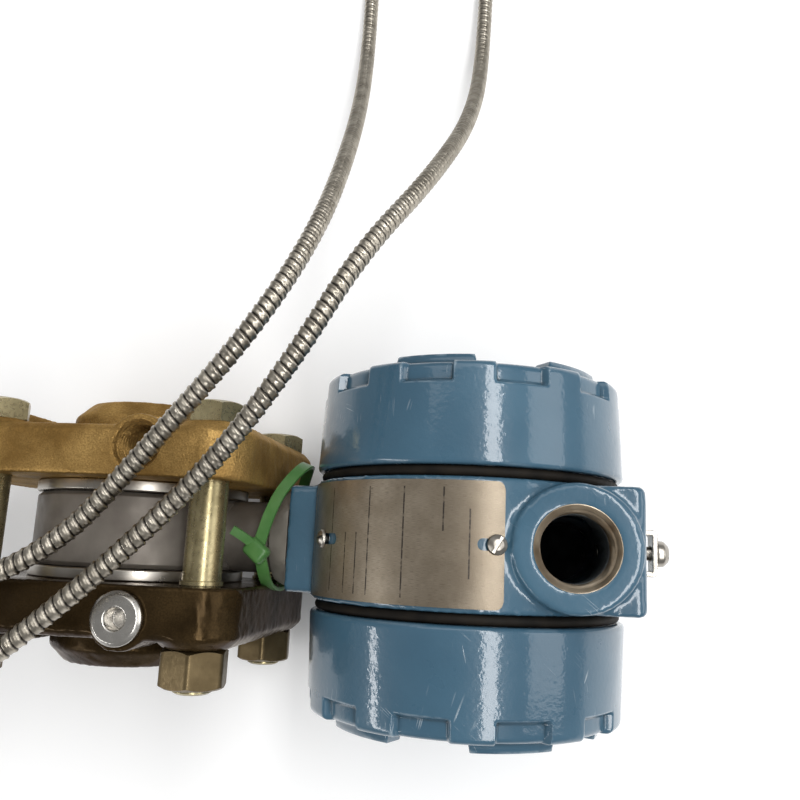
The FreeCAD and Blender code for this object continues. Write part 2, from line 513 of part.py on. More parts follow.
def make_end(label, x, y):
    # The last of the tube leaves the coil's upper layer and ends in a sleeve, a hexagon and a stub.
    height = "endFlats / 2 - coverRadius"
    tail = rod(label + "_end_tail", "capillaryRadius", "endTail", (x, y, height), AGAINST_Y)
    sleeve = rod(label + "_end_sleeve", "endSleeve", "endSleeveLong", (x, y + " - endTail", height), AGAINST_Y)
    hexagon_y = y + " - endTail - endSleeveLong"
    collar = hexagon(label + "_end_collar", "endFlats", "endHex", (x, hexagon_y, height), AGAINST_Y)
    stub = rod(label + "_end_stub", "endStubRadius", "endStub", (x, hexagon_y + " - endHex", height), AGAINST_Y)
    return fused(label + "_end_body", tail, sleeve, collar, stub)


# Routes chosen by hand along the photographed tubes: the first points from the end of the fitting, then
# the crossing from the housing's centre, and last the points that lie down, with their heights above the floor
ROUTES = {
    "capillary_high": (((0, 0, 0), (-34.8, 0, 0), (-61.8, -13, 32), (-32.8, -39, 58)),
                       ((-168, -28, 56), (-114, -11, 49.2), (-84, 25, 49.2), (-59, 57, 49), (-47, 91, 34),
                        (-45, 128, 9), (-47, 170, -22)),
                       ((-50, 214, 3.8), (-50, 272, 3.2), (-50, 312, 3))),
    "capillary_low": (((0, 0, 0), (-34.8, 0, 0), (-64.8, -17, 30), (-38.8, -45, 57)),
                      ((-170, -72, 57), (-114, -29, 51), (-72, 11.5, 50), (-47, 46, 52), (-31, 82, 42),
                       (-13, 118, 18), (-2.5, 158, -14)),
                      ((-1, 205, 4.8), (0, 272, 3.2), (0, 312, 3))),
}


def route_points(label, side):
    # A route's points in the row's frame.
    leave, across, lie = ROUTES[label]
    fitting = FreeCAD.Vector(outlet.X.Value, outlet.Y.Value * side, 0)
    floor = FreeCAD.Vector(0, 0, 0 - size("coverRadius"))
    points = [FreeCAD.Vector(*point) + fitting for point in leave]
    points += [FreeCAD.Vector(*point) for point in across]
    points += [FreeCAD.Vector(*point) + floor for point in lie]
    return [point + shift for point in points]


for name, side in (("high", "1"), ("low", "-1")):
    label = "capillary_" + name
    node(label + "_fitting", make_fitting(label, side))
    tube, length = make_capillary(label, route_points(label, int(side)))
    node(label + "_tube", tube)
    last_x, last_y, last_height = ROUTES[label][-1][-1]
    beside = "(coilRadius + capillaryRadius * 2 + coilGap) * %s" % side
    coil_x = "%r - %s" % (last_x, beside)
    node(label + "_coil", make_coil(label, coil_x, "%r" % last_y))
    node(label + "_end", make_end(label, "%s - %s" % (coil_x, beside), "%r" % last_y))
    print(label, "tube length", round(length, 1))

doc.recompute()
for piece in doc.Objects:
    if "Invalid" in piece.State or "Error" in piece.State:
        raise RuntimeError("failed: %s %s" % (piece.Name, piece.State))
os.makedirs("parts", exist_ok=True)
for piece in nodes:
    shape = piece.Shape
    if shape.isNull() or not shape.isValid() or len(shape.Solids) != 1:
        raise RuntimeError("bad shape: %s, %d solids" % (piece.Label, len(shape.Solids)))
    shape.exportStep("parts/%s.step" % piece.Label)
print(len(nodes), "nodes written")
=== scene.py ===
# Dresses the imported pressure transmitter: castings, plate, armoured tubes, fasteners, light and camera.
import bmesh
import bpy
import math
import numpy as np
from mathutils import Euler, Matrix, Vector


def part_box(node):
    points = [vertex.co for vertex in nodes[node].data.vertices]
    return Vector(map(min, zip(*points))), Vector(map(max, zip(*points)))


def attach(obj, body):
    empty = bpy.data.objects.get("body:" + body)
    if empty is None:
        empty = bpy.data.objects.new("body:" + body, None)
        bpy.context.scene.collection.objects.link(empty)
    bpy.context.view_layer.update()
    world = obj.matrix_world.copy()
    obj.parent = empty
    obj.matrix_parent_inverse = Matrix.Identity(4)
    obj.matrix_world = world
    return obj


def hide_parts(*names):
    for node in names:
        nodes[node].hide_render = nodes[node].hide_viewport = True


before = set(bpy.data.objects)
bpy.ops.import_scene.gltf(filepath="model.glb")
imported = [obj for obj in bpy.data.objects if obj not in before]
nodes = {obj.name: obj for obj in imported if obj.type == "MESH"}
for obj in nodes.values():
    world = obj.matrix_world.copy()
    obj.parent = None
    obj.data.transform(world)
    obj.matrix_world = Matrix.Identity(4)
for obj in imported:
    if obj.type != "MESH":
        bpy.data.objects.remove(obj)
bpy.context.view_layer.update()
scene = bpy.context.scene
sealLow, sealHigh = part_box("circuit_cover_seal")
homeX = (sealLow[0] + sealHigh[0]) / 2  # the housing's axis in the row's frame
homeZ = (sealLow[2] + sealHigh[2]) / 2
print("frame loaded,", len(nodes), "nodes")


def at(x, y, z):  # a point given in mm from the housing's centre
    return Vector((homeX + x / 1000, y / 1000, homeZ + z / 1000))


def smoothStep(value):
    value = np.clip(value, 0, 1)
    return value * value * (3 - 2 * value)


def placed(name, data):  # a new object in the scene
    piece = bpy.data.objects.new(name, data)
    scene.collection.objects.link(piece)
    return piece


def setAll(thing, settings):
    for name, value in settings.items():
        setattr(thing, name, value)
    return thing


# Camera, fitted to the photograph
cameraSizes = {"place": (14.2, -3.1, 256.8), "turn": (-10.99, -8.16, -0.99),
               "lens": {"lens": 35.75, "sensor_width": 36, "clip_start": 0.01}}


def setCamera():
    turnX, turnY, turnZ = (math.radians(angle) for angle in cameraSizes["turn"])
    look = Matrix.Rotation(turnZ, 3, "Z") @ Matrix.Rotation(turnY, 3, "Y") @ Matrix.Rotation(turnX, 3, "X")
    camera = placed("camera", setAll(bpy.data.cameras.new("camera"), cameraSizes["lens"]))
    camera.matrix_world = Matrix.Translation(at(*cameraSizes["place"])) @ look.transposed().to_4x4()
    scene.camera = camera


setCamera()


# Material helpers
def startMaterial(name, sockets):
    material = bpy.data.materials.new(name)
    material.use_nodes = True
    tree = material.node_tree
    shader = tree.nodes["Principled BSDF"]
    for socket, value in sockets.items():
        shader.inputs[socket].default_value = value
    return material, tree, shader


def objectPlace(tree):
    return addNode(tree, "ShaderNodeTexCoord")["Object"]


def addNode(tree, kind, inputs=(), **settings):  # a node with its inputs linked or set, as its outputs
    node = setAll(tree.nodes.new(kind), settings)
    for socket, value in dict(inputs).items():
        if isinstance(value, bpy.types.NodeSocket):
            tree.links.new(value, node.inputs[socket])
        elif value is not None:
            node.inputs[socket].default_value = value
    return node.outputs


def mapped(tree, place, scale, turn=(0, 0, 0)):  # turned first, then stretched
    for socket, value in (("Rotation", turn), ("Scale", scale)):
        place = addNode(tree, "ShaderNodeMapping", {socket: value, "Vector": place})["Vector"]
    return place


def grain(tree, place, scale, detail=4.0):
    inputs = {"Scale": scale, "Detail": detail, "Vector": place}
    return addNode(tree, "ShaderNodeTexNoise", inputs)["Fac"]


def spread(tree, value, low, high, toLow=0.0, toHigh=1.0):
    inputs = {"From Min": low, "From Max": high, "To Min": toLow, "To Max": toHigh, "Value": value}
    return addNode(tree, "ShaderNodeMapRange", inputs)["Result"]


def noise(tree, place, scale, detail, *limits):
    return spread(tree, grain(tree, place, scale, detail), *limits)


def combine(tree, operation, first, second=None):
    return addNode(tree, "ShaderNodeMath", {0: first, 1: second}, operation=operation)["Value"]


def mix(tree, amount, first, second):
    first, second = (colour + (1,) if isinstance(colour, tuple) else colour for colour in (first, second))
    inputs = {0: amount, 6: first, 7: second}
    return addNode(tree, "ShaderNodeMix", inputs, data_type="RGBA")[2]


def attributeOf(tree, name):
    return addNode(tree, "ShaderNodeAttribute", attribute_name=name)["Fac"]


def relief(tree, shader, height, distance):  # a bump on top of those that are there
    inputs = {"Distance": distance, "Strength": 1.0, "Height": height}
    if shader.inputs["Normal"].is_linked:
        inputs["Normal"] = shader.inputs["Normal"].links[0].from_socket
    bump = addNode(tree, "ShaderNodeBump", inputs)
    tree.links.new(bump["Normal"], shader.inputs["Normal"])


def feed(tree, shader, colour, rough):
    tree.links.new(colour, shader.inputs["Base Color"])
    tree.links.new(rough, shader.inputs["Roughness"])


# Finishes
paintLooks = {
    "sockets": {"Coat Weight": 0.8, "Coat Roughness": 0.09, "Specular IOR Level": 0.25},
    "dark": (0.036, 0.09, 0.138), "light": (0.047, 0.114, 0.17), "worn": (0.24, 0.31, 0.36),
    "cut": (0.5, 0.55, 0.58), "hollowDark": (0.02, 0.03, 0.035), "paintedBoreLight": (0.34, 0.38, 0.4),
    "cuts": (((0.5, 0.3, 0.7), 75), ((0.9, 0.8, -0.9), 95), ((0.2, 1.2, 1.9), 62)), "cutThin": 45,
    "boreX": 0.031, "boreRadius": 0.0112, "peel": 0.00005, "cutDeep": 0.00004,
}


def makePaint():
    looks = paintLooks
    material, tree, shader = startMaterial("bluePaint", looks["sockets"])
    place = objectPlace(tree)
    colour = mix(tree, noise(tree, place, 28, 4, 0.35, 0.65), looks["dark"], looks["light"])
    edge = spread(tree, attributeOf(tree, "edgeWear"), 0.4, 0.85)
    worn = combine(tree, "MULTIPLY", edge, noise(tree, place, 210, 5, 0.46, 0.6))
    colour = mix(tree, worn, colour, looks["worn"])
    scratched = None
    for turn, size in looks["cuts"]:
        lines = grain(tree, mapped(tree, place, (size, looks["cutThin"] * size, size), turn), 1, 1)
        patches = noise(tree, place, size, 2, 0.62, 0.7)
        cuts = combine(tree, "MULTIPLY", spread(tree, lines, 0.66, 0.7, 0, 0.38), patches)
        scratched = cuts if scratched is None else combine(tree, "MAXIMUM", scratched, cuts)
    colour = mix(tree, scratched, colour, looks["cut"])
    # Darker in the hollows: a near-black blue is mixed in where the surface is concave.
    hollowDark = combine(tree, "MULTIPLY", spread(tree, attributeOf(tree, "hollow"), 0.2, 0.9, 0, 0.75),
                    noise(tree, place, 160, 4, 0.3, 0.6, 0.4, 1))
    colour = mix(tree, hollowDark, colour, looks["hollowDark"])
    # Painted light: the conduit bore's walls and floor get a pale grey-blue colour, standing in for light
    # that reaches inside.
    flat = mapped(tree, place, (1, 1, 0))
    boreNode = addNode(tree, "ShaderNodeVectorMath", {0: flat, 1: (homeX + looks["boreX"], 0, 0)},
                       operation="DISTANCE")
    paintedBoreLightMask = combine(tree, "LESS_THAN", boreNode["Value"], looks["boreRadius"])
    colour = mix(tree, paintedBoreLightMask, colour, looks["paintedBoreLight"])
    feed(tree, shader, colour, noise(tree, place, 90, 4, 0.3, 0.7, 0.25, 0.4))
    relief(tree, shader, grain(tree, place, 720, 2), looks["peel"])
    relief(tree, shader, scratched, looks["cutDeep"])
    tree.links.new(shader.inputs["Normal"].links[0].from_socket, shader.inputs["Coat Normal"])
    return material


castingLooks = {
    "yellowCasting": {"dark": (0.22, 0.125, 0.036), "light": (0.52, 0.33, 0.115),
                      "tint": (0.6, 0.45, 0.22), "metal": 0.6, "rough": (0.32, 0.54),
                      "fine": 0.00019, "broad": 0.00036},
    "brownCasting": {"dark": (0.021, 0.013, 0.0056), "light": (0.068, 0.043, 0.018),
                     "tint": (0.4, 0.28, 0.16), "metal": 0.36, "rough": (0.1, 0.32),
                     "fine": 0.000008, "broad": 0.0001},
}
castingHollowDark = (0.03, 0.02, 0.012)


def shade(colour, amount):
    return tuple(min(1, part * amount) for part in colour)


def makeCasting(name):
    looks = castingLooks[name]
    dark, light = looks["dark"], looks["light"]
    material, tree, shader = startMaterial(name, {
        "Metallic": looks["metal"], "Specular IOR Level": 0.3, "Specular Tint": looks["tint"] + (1,)})
    place = objectPlace(tree)
    patches = noise(tree, place, 55, 6, 0.36, 0.64)
    colour = mix(tree, patches, dark, light)
    broad = noise(tree, place, 26, 3, 0.44, 0.6, 0, 0.6)
    colour = mix(tree, broad, colour, shade(dark, 0.8))
    specks = noise(tree, place, 2100, 3, 0.38, 0.6, 0.5, 1)
    colour = mix(tree, specks, shade(dark, 0.7), colour)
    edge = combine(tree, "MULTIPLY", spread(tree, attributeOf(tree, "edgeWear"), 0.3, 0.9),
                   noise(tree, place, 260, 4, 0.4, 0.6, 0, 0.8))
    colour = mix(tree, edge, colour, shade(light, 1.7))
    # Darker in the hollows: a near-black brown is mixed in where the surface is concave.
    hollowDarkMask = combine(tree, "MULTIPLY", spread(tree, attributeOf(tree, "hollow"), 0.15, 0.8, 0, 0.85),
                   noise(tree, place, 200, 4, 0.3, 0.6, 0.5, 1))
    colour = mix(tree, hollowDarkMask, colour, castingHollowDark)
    feed(tree, shader, colour, noise(tree, place, 70, 5, 0.35, 0.65, *looks["rough"]))
    relief(tree, shader, grain(tree, place, 1500, 4), looks["fine"])
    relief(tree, shader, grain(tree, place, 260, 3), looks["broad"])
    return material


def makeSteel(name, dark, light, roughLow, roughHigh, scale, metal, bumps):
    material, tree, shader = startMaterial(name, {"Metallic": metal})
    place = objectPlace(tree)
    streaks = grain(tree, place, scale, 5)
    colour = mix(tree, noise(tree, place, 75, 5, 0.35, 0.65), dark, light)
    feed(tree, shader, colour, spread(tree, streaks, 0.3, 0.7, roughLow, roughHigh))
    relief(tree, shader, streaks, bumps)
    return material


armourLooks = {"dark": (0.31, 0.28, 0.23), "light": (0.48, 0.44, 0.37), "paintedGrooveShade": (0.05, 0.045, 0.04)}


def makeArmour():
    material, tree, shader = startMaterial("armour", {"Metallic": 1.0})
    place = objectPlace(tree)
    colour = mix(tree, noise(tree, place, 240, 4, 0.35, 0.65), armourLooks["dark"], armourLooks["light"])
    # Painted shade: the grooves between the strip's turns are coloured near black, where the recess would
    # be in shade.
    paintedGrooveShade = spread(tree, attributeOf(tree, "ridge"), 0.36, 0.66)
    colour = mix(tree, paintedGrooveShade, armourLooks["paintedGrooveShade"], colour)
    feed(tree, shader, colour, noise(tree, place, 600, 4, 0.3, 0.7, 0.26, 0.42))
    relief(tree, shader, grain(tree, place, 1500, 3), 0.00002)
    return material


def makePlastic(name, dark, light, roughness, scale, sockets=None):
    material, tree, shader = startMaterial(name, sockets or {})
    place = objectPlace(tree)
    colour = mix(tree, noise(tree, place, scale, 4, 0.35, 0.65), dark, light)
    rough = noise(tree, place, scale * 4, 4, 0.3, 0.7, roughness - 0.06, roughness + 0.08)
    feed(tree, shader, colour, rough)
    relief(tree, shader, grain(tree, place, scale * 6, 2), 0.00003)
    return material


# The bare plate: brushed steel with ruled fields, in mm along its arc and its height
plateLooks = {
    "stained": (0.3, 0.25, 0.185), "clean": (0.4, 0.34, 0.262), "brushed": (0.21, 0.172, 0.125),
    "tarnishAndShade": (0.13, 0.105, 0.075), "ink": (0.035, 0.03, 0.028), "ruleHalf": 0.22,
    "rules": ((3.5, -13, 13), (17.5, -14.5, 14.5), (33.5, -14.5, 14.5), (44.5, -14.5, 14.5),
              (24.5, -14.5, 2), (29.0, -14.5, 2), (55.5, 3, 14.5), (62.5, -9, 9)),
}


def makePlate():
    looks = plateLooks
    material, tree, shader = startMaterial("plateSteel", {"Metallic": 0.75})
    flat = addNode(tree, "ShaderNodeUVMap", uv_map="plateMap")["UV"]
    along, height, _ = addNode(tree, "ShaderNodeSeparateXYZ", {0: flat})
    inked = None
    for centre, low, high in looks["rules"]:
        off = combine(tree, "ABSOLUTE", combine(tree, "SUBTRACT", along, centre), 0)
        line = combine(tree, "LESS_THAN", off, looks["ruleHalf"])
        line = combine(tree, "MULTIPLY", line, combine(tree, "GREATER_THAN", height, low))
        line = combine(tree, "MULTIPLY", line, combine(tree, "LESS_THAN", height, high))
        inked = line if inked is None else combine(tree, "MAXIMUM", inked, line)
    place = objectPlace(tree)
    brushed = grain(tree, mapped(tree, flat, (0.6, 14, 1)), 1, 6)
    stains = noise(tree, place, 150, 5, 0.35, 0.65)
    colour = mix(tree, stains, looks["stained"], looks["clean"])
    colour = mix(tree, spread(tree, brushed, 0.3, 0.55), looks["brushed"], colour)
    # Partly painted shade, partly tarnish: patches darken the plate from 38 mm along its arc to its far
    # end, holding down the lamp's reflection there.
    tarnishAndShade = combine(tree, "MULTIPLY", spread(tree, along, 38, 58, 0, 0.75),
                      noise(tree, place, 60, 4, 0.3, 0.6, 0.55, 1))
    colour = mix(tree, tarnishAndShade, colour, looks["tarnishAndShade"])
    rubbed = noise(tree, place, 500, 4, 0.35, 0.5, 0.25, 0.9)
    colour = mix(tree, combine(tree, "MULTIPLY", inked, rubbed), colour, looks["ink"])
    feed(tree, shader, colour, spread(tree, brushed, 0.3, 0.7, 0.26, 0.42))
    relief(tree, shader, brushed, 0.000015)
    return material


paint = makePaint()
castings = {name: makeCasting(name) for name in castingLooks}
armour = makeArmour()
plateSteel = makePlate()
# Dark and light colour, low and high roughness, grain, how metallic, bump
steels = {name: makeSteel(name, *values) for name, values in {
    "yellowSteel": ((0.2, 0.165, 0.085), (0.44, 0.375, 0.215), 0.22, 0.38, 900, 0.85, 0.000005),
    "nutSteel": ((0.085, 0.06, 0.028), (0.165, 0.122, 0.062), 0.34, 0.48, 900, 0.85, 0.000005),
    "greySteel": ((0.15, 0.13, 0.11), (0.23, 0.205, 0.175), 0.42, 0.6, 220, 0.5, 0.00001),
    "darkSteel": ((0.012, 0.013, 0.014), (0.03, 0.032, 0.033), 0.4, 0.6, 220, 1.0, 0.00001),
    "brightSteel": ((0.42, 0.4, 0.37), (0.6, 0.58, 0.54), 0.2, 0.32, 350, 1.0, 0.000004),
    "boreSteel": ((0.15, 0.105, 0.062), (0.5, 0.43, 0.33), 0.28, 0.48, 420, 0.6, 0.00002),
    "dullSteel": ((0.36, 0.335, 0.295), (0.47, 0.44, 0.395), 0.26, 0.38, 90, 1.0, 0.000002),
    "hexSteel": ((0.19, 0.172, 0.145), (0.28, 0.256, 0.22), 0.4, 0.55, 300, 0.5, 0.000004),
    "brass": ((0.5, 0.33, 0.12), (0.72, 0.52, 0.22), 0.25, 0.4, 260, 1.0, 0.00001),
}.items()}
greenPlastic = makePlastic("greenPlastic", (0.05, 0.155, 0.035), (0.085, 0.21, 0.058), 0.34, 90,
                           {"Subsurface Weight": 0.05, "Subsurface Radius": (0.002, 0.003, 0.001)})
sealRubber = makePlastic("sealRubber", (0.006, 0.005, 0.004), (0.014, 0.011, 0.008), 0.6, 150,
                         {"Specular IOR Level": 0.12})
blackPlastic = makePlastic("blackPlastic", (0.012, 0.012, 0.013), (0.03, 0.03, 0.03), 0.45, 120)
boardGreen = makePlastic("boardGreen", (0.015, 0.1, 0.035), (0.03, 0.16, 0.06), 0.4, 120)
print("finishes made")


# Mesh helpers
def addMesh(name, mesh, material, sharp=38):
    mesh.shade_smooth()
    mesh.set_sharp_from_angle(angle=math.radians(sharp))
    mesh.materials.clear()
    mesh.materials.append(material)
    return placed(name, mesh)


def closedMesh(name, points, faces):
    mesh = bpy.data.meshes.new(name)
    mesh.from_pydata([tuple(point) for point in points], [], faces)
    work = bmesh.new()
    work.from_mesh(mesh)
    bmesh.ops.remove_doubles(work, verts=work.verts, dist=1e-6)
    bmesh.ops.recalc_face_normals(work, faces=work.faces)
    work.to_mesh(mesh)
    work.free()
    return mesh


def shaped(name, parts, material, sharp=38):  # a piece from its points and faces
    return addMesh(name, closedMesh(name, *parts), material, sharp)


def fit(piece, body, slot, *hidden):
    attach(piece, body)
    if hidden:
        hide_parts(*hidden)
    return piece


def bakedMesh(piece):  # what a piece's modifiers make, as a plain mesh
    depsgraph = bpy.context.evaluated_depsgraph_get()
    mesh = bpy.data.meshes.new_from_object(piece.evaluated_get(depsgraph))
    bpy.data.objects.remove(piece)
    return mesh


def joined(parts):
    points, faces = [], []
    for morePoints, moreFaces in parts:
        base = len(points)
        points += list(morePoints)
        faces += [tuple(index + base for index in face) for face in moreFaces]
    return points, faces


def eased(profile, radius, steps=4):  # rounds the corners of a profile
    out = [tuple(profile[0])]
    for before, corner, after in zip(profile, profile[1:], profile[2:]):
        corner = Vector(corner)
        arrive = Vector(before) - corner
        leave = Vector(after) - corner
        first = corner + arrive.normalized() * min(radius, arrive.length * 0.45)
        last = corner + leave.normalized() * min(radius, leave.length * 0.45)
        for step in range(steps + 1):
            part = step / steps
            out.append(tuple(first * (1 - part) ** 2 + corner * 2 * part * (1 - part) + last * part * part))
    out.append(tuple(profile[-1]))
    return out


def ringFaces(low, high, count):  # the quads between two closed rows of points
    steps = [(step, (step + 1) % count) for step in range(count)]
    return [(low + step, low + after, high + after, high + step) for step, after in steps]


axisOrder = {"x": (0, 1, 2), "y": (1, 2, 0), "z": (2, 0, 1)}


def turned(profile, start, axis, steps=96, shape=None):
    # Revolves (along, radius) pairs in mm about a line through start; shape may vary a ring's point
    main, first, second = axisOrder[axis]
    points, rings, faces = [], [], []
    for along, radius in profile:
        count = 1 if radius < 1e-6 else steps
        rings.append(range(len(points), len(points) + count))
        for step in range(count):
            angle = 2 * math.pi * step / steps
            spot = list(start)
            reach, lift = (radius, along) if shape is None else shape(along, radius, angle)
            spot[main] += lift
            spot[first] += reach * math.cos(angle)
            spot[second] += reach * math.sin(angle)
            points.append(at(*spot))
    for low, high in zip(rings, rings[1:]):
        if len(low) > 1 and len(high) > 1:
            faces += ringFaces(low[0], high[0], steps)
        elif len(low) > 1:
            faces += [(low[step], low[(step + 1) % steps], high[0]) for step in range(steps)]
        elif len(high) > 1:
            faces += [(low[0], high[(step + 1) % steps], high[step]) for step in range(steps)]
    return points, faces


def easedTurn(profile, ease, start, axis, steps, out=1, shift=0):  # a rounded profile, revolved either way
    profile = [(shift + along * out, radius) for along, radius in profile]
    return turned(eased(profile, ease), start, axis, steps)


def hexRadius(flats, angle, turn=0.0):
    return flats / 2 / math.cos((angle - turn) % (math.pi / 3) - math.pi / 6)


def hexBody(flats, low, high, start, axis, turn=0.0, hole=0.0, crown=0.95, steep=0.577, both=False):
    # A hexagon with a conical chamfer at high, or at both ends, its corners at turn
    inner = flats / 2 * crown
    sign = 1 if high > low else -1

    def shape(along, radius, angle):
        outer = hexRadius(flats, angle, turn)
        drop = max(0, outer - inner) * steep * sign
        if radius == 1:
            return outer, low + (drop if both else 0)
        if radius == 2:
            return outer, high - drop
        return radius, along

    profile = [(low, hole), (low, 1), (high, 2), (high, inner - 0.001), (high, hole)]
    if both:
        profile.insert(1, (low, inner - 0.001))
    if hole:
        profile.append((low, hole))
    return turned(profile, start, axis, 72, shape)


def readArray(items, field, width, kind=float):
    values = np.empty(len(items) * width, dtype=kind)
    items.foreach_get(field, values)
    return values.reshape(-1, width)


def markEdges(mesh, reach):  # how convex and how hollow each point is, for wear and for darkening the hollows
    count = len(mesh.vertices)
    spots = readArray(mesh.vertices, "co", 3)
    normals = readArray(mesh.vertex_normals, "vector", 3)
    first, second = readArray(mesh.edges, "vertices", 2, np.int64).T
    gap = spots[first] - spots[second]
    span = (gap ** 2).sum(1) + 1e-14

    def gathered(atFirst, atSecond):  # the sum over the edges that meet at each point
        total = np.zeros(count)
        np.add.at(total, first, atFirst)
        np.add.at(total, second, atSecond)
        return total

    hits = np.maximum(gathered(1, 1), 1)
    bend = gathered((normals[first] * gap).sum(1) / span, -(normals[second] * gap).sum(1) / span) / hits
    for _ in range(3):
        bend = 0.4 * bend + 0.6 * gathered(bend[second], bend[first]) / hits
    for name, values in (("edgeWear", bend), ("hollow", -bend)):
        layer = mesh.attributes.new(name, "FLOAT", "POINT")
        layer.data.foreach_set("value", np.clip(values * reach / 1000, 0, 1))


def modify(piece, kind, **settings):
    return setAll(piece.modifiers.new(kind, kind), settings)


castTurn = Euler((0.41, 0.57, 0.33)).to_matrix().to_4x4()  # keeps flat faces off the voxel grid


def castCopy(nodeName, voxel, rounds, lumps=0.0, keep=1.0, extra=None):  # a rounded casting from a CAD node
    mesh = nodes[nodeName].data.copy()
    work = bmesh.new()
    work.from_mesh(mesh)
    bmesh.ops.remove_doubles(work, verts=work.verts, dist=1e-6)
    if extra:
        work.from_mesh(closedMesh(nodeName + "Extra", *extra))
    work.to_mesh(mesh)
    work.free()
    mesh.transform(castTurn)
    piece = placed("work", mesh)
    modify(piece, "REMESH", mode="VOXEL", voxel_size=voxel / 1000)
    modify(piece, "SMOOTH", factor=0.5, iterations=rounds)
    if keep < 1:
        modify(piece, "DECIMATE", ratio=keep)
    if lumps:
        clouds = bpy.data.textures.new(nodeName + "Lumps", "CLOUDS")
        clouds.noise_scale = 0.003
        modify(piece, "DISPLACE", texture=clouds, strength=lumps / 1000, mid_level=0.5)
    mesh = bakedMesh(piece)
    mesh.transform(castTurn.inverted())
    return mesh


def carve(piece, parts):  # takes a cutter's shape out of a piece
    cutter = shaped("cutter", parts, steels["brightSteel"])
    modify(piece, "BOOLEAN", operation="DIFFERENCE", solver="EXACT", object=cutter)
    name, material = piece.name, piece.data.materials[0]
    mesh = bakedMesh(piece)
    bpy.data.objects.remove(cutter)
    return addMesh(name, mesh, material)


# Node trees
def startTree(name, inputs):
    tree = bpy.data.node_groups.new(name, "GeometryNodeTree")
    tree.interface.new_socket("Geometry", in_out="INPUT", socket_type="NodeSocketGeometry")
    for label, kind in inputs.items():
        tree.interface.new_socket(label, in_out="INPUT", socket_type="NodeSocket" + kind)
    tree.interface.new_socket("Geometry", in_out="OUTPUT", socket_type="NodeSocketGeometry")
    return tree, addNode(tree, "NodeGroupInput")


def runTree(piece, tree, values):
    modifier = modify(piece, "NODES", node_group=tree)
    for item in tree.interface.items_tree:
        if item.in_out == "INPUT" and item.name in values:
            modifier[item.identifier] = values[item.name]
    return bakedMesh(piece)


def keepValue(tree, geometry, name, value):
    inputs = {"Name": name, "Geometry": geometry, "Value": value}
    settings = {"data_type": "FLOAT", "domain": "POINT"}
    return addNode(tree, "GeometryNodeStoreNamedAttribute", inputs, **settings)["Geometry"]


def readValue(tree, name):
    return addNode(tree, "GeometryNodeInputNamedAttribute", {"Name": name}, data_type="FLOAT")["Attribute"]


def finishTree(tree, geometry, material):
    realized = addNode(tree, "GeometryNodeRealizeInstances", {0: geometry})[0]
    dressed = addNode(tree, "GeometryNodeSetMaterial", {"Geometry": realized, "Material": material})[0]
    addNode(tree, "NodeGroupOutput", {0: dressed})
    return tree


# One turn of the armour's strip, as parts of its pitch, and how high its flat band is beside its lip
windingSizes = {"rise": 0.2, "fall": 0.16, "lipStart": 0.54, "bandHeight": 0.64}


def armourTree():  # a strip wound tube along a line: its ridges run round it as one helix
    tree, given = startTree("stripWoundTube", {
        "Radius": "Float", "Pitch": "Float", "Groove": "Float", "Step": "Float", "Sides": "Int",
        "Material": "Material"})
    line = addNode(tree, "GeometryNodeMeshToCurve", {"Mesh": given["Geometry"]})[0]
    even = addNode(tree, "GeometryNodeResampleCurve", {"Curve": line, "Length": given["Step"]},
                   mode="LENGTH")[0]
    travel = addNode(tree, "GeometryNodeSplineParameter")
    rail = keepValue(tree, even, "along", travel["Length"])
    circle = addNode(tree, "GeometryNodeCurvePrimitiveCircle",
                     {"Resolution": given["Sides"], "Radius": given["Radius"]})["Curve"]
    ring = keepValue(tree, circle, "around", travel["Factor"])
    sweep = addNode(tree, "GeometryNodeCurveToMesh",
                    {"Fill Caps": True, "Curve": rail, "Profile Curve": ring})[0]

    def maths(operation, first, second=None):
        return combine(tree, operation, first, second)

    sizes = windingSizes
    turns = maths("DIVIDE", readValue(tree, "along"), given["Pitch"])
    phase = maths("FRACT", maths("ADD", turns, readValue(tree, "around")))
    rise = maths("MINIMUM", maths("DIVIDE", phase, sizes["rise"]), 1)
    fall = maths("MINIMUM", maths("DIVIDE", maths("SUBTRACT", 1, phase), sizes["fall"]), 1)
    band = maths("SINE", maths("MULTIPLY", maths("MULTIPLY", rise, fall), math.pi / 2))
    past = maths("DIVIDE", maths("SUBTRACT", phase, sizes["lipStart"]), 1 - sizes["lipStart"])
    lip = maths("SINE", maths("MULTIPLY", maths("MAXIMUM", past, 0), math.pi))
    height = maths("ADD", maths("MULTIPLY", lip, 1 - sizes["bandHeight"]), sizes["bandHeight"])
    bulge = maths("MULTIPLY", band, height)
    drop = maths("MULTIPLY", maths("SUBTRACT", bulge, 1), given["Groove"])
    normal = addNode(tree, "GeometryNodeInputNormal")[0]
    offset = addNode(tree, "ShaderNodeVectorMath", {0: normal, "Scale": drop}, operation="SCALE")[0]
    kept = keepValue(tree, sweep, "ridge", bulge)
    moved = addNode(tree, "GeometryNodeSetPosition", {"Geometry": kept, "Offset": offset})[0]
    return finishTree(tree, moved, given["Material"])


def fastenerTree():  # one fastener at each corner of a rectangle
    tree, given = startTree("fastenerSet", {
        "Spacing X": "Float", "Spacing Z": "Float", "Fastener": "Object", "Material": "Material"})
    inputs = {"Vertices X": 2, "Vertices Y": 2, "Size X": given["Spacing X"], "Size Y": given["Spacing Z"]}
    grid = addNode(tree, "GeometryNodeMeshGrid", inputs)["Mesh"]
    upright = addNode(tree, "GeometryNodeTransform", {"Rotation": (math.pi / 2, 0, 0), "Geometry": grid})[0]
    shape = addNode(tree, "GeometryNodeObjectInfo", {"Object": given["Fastener"]})["Geometry"]
    spots = addNode(tree, "GeometryNodeInstanceOnPoints", {"Points": upright, "Instance": shape})[0]
    return finishTree(tree, spots, given["Material"])


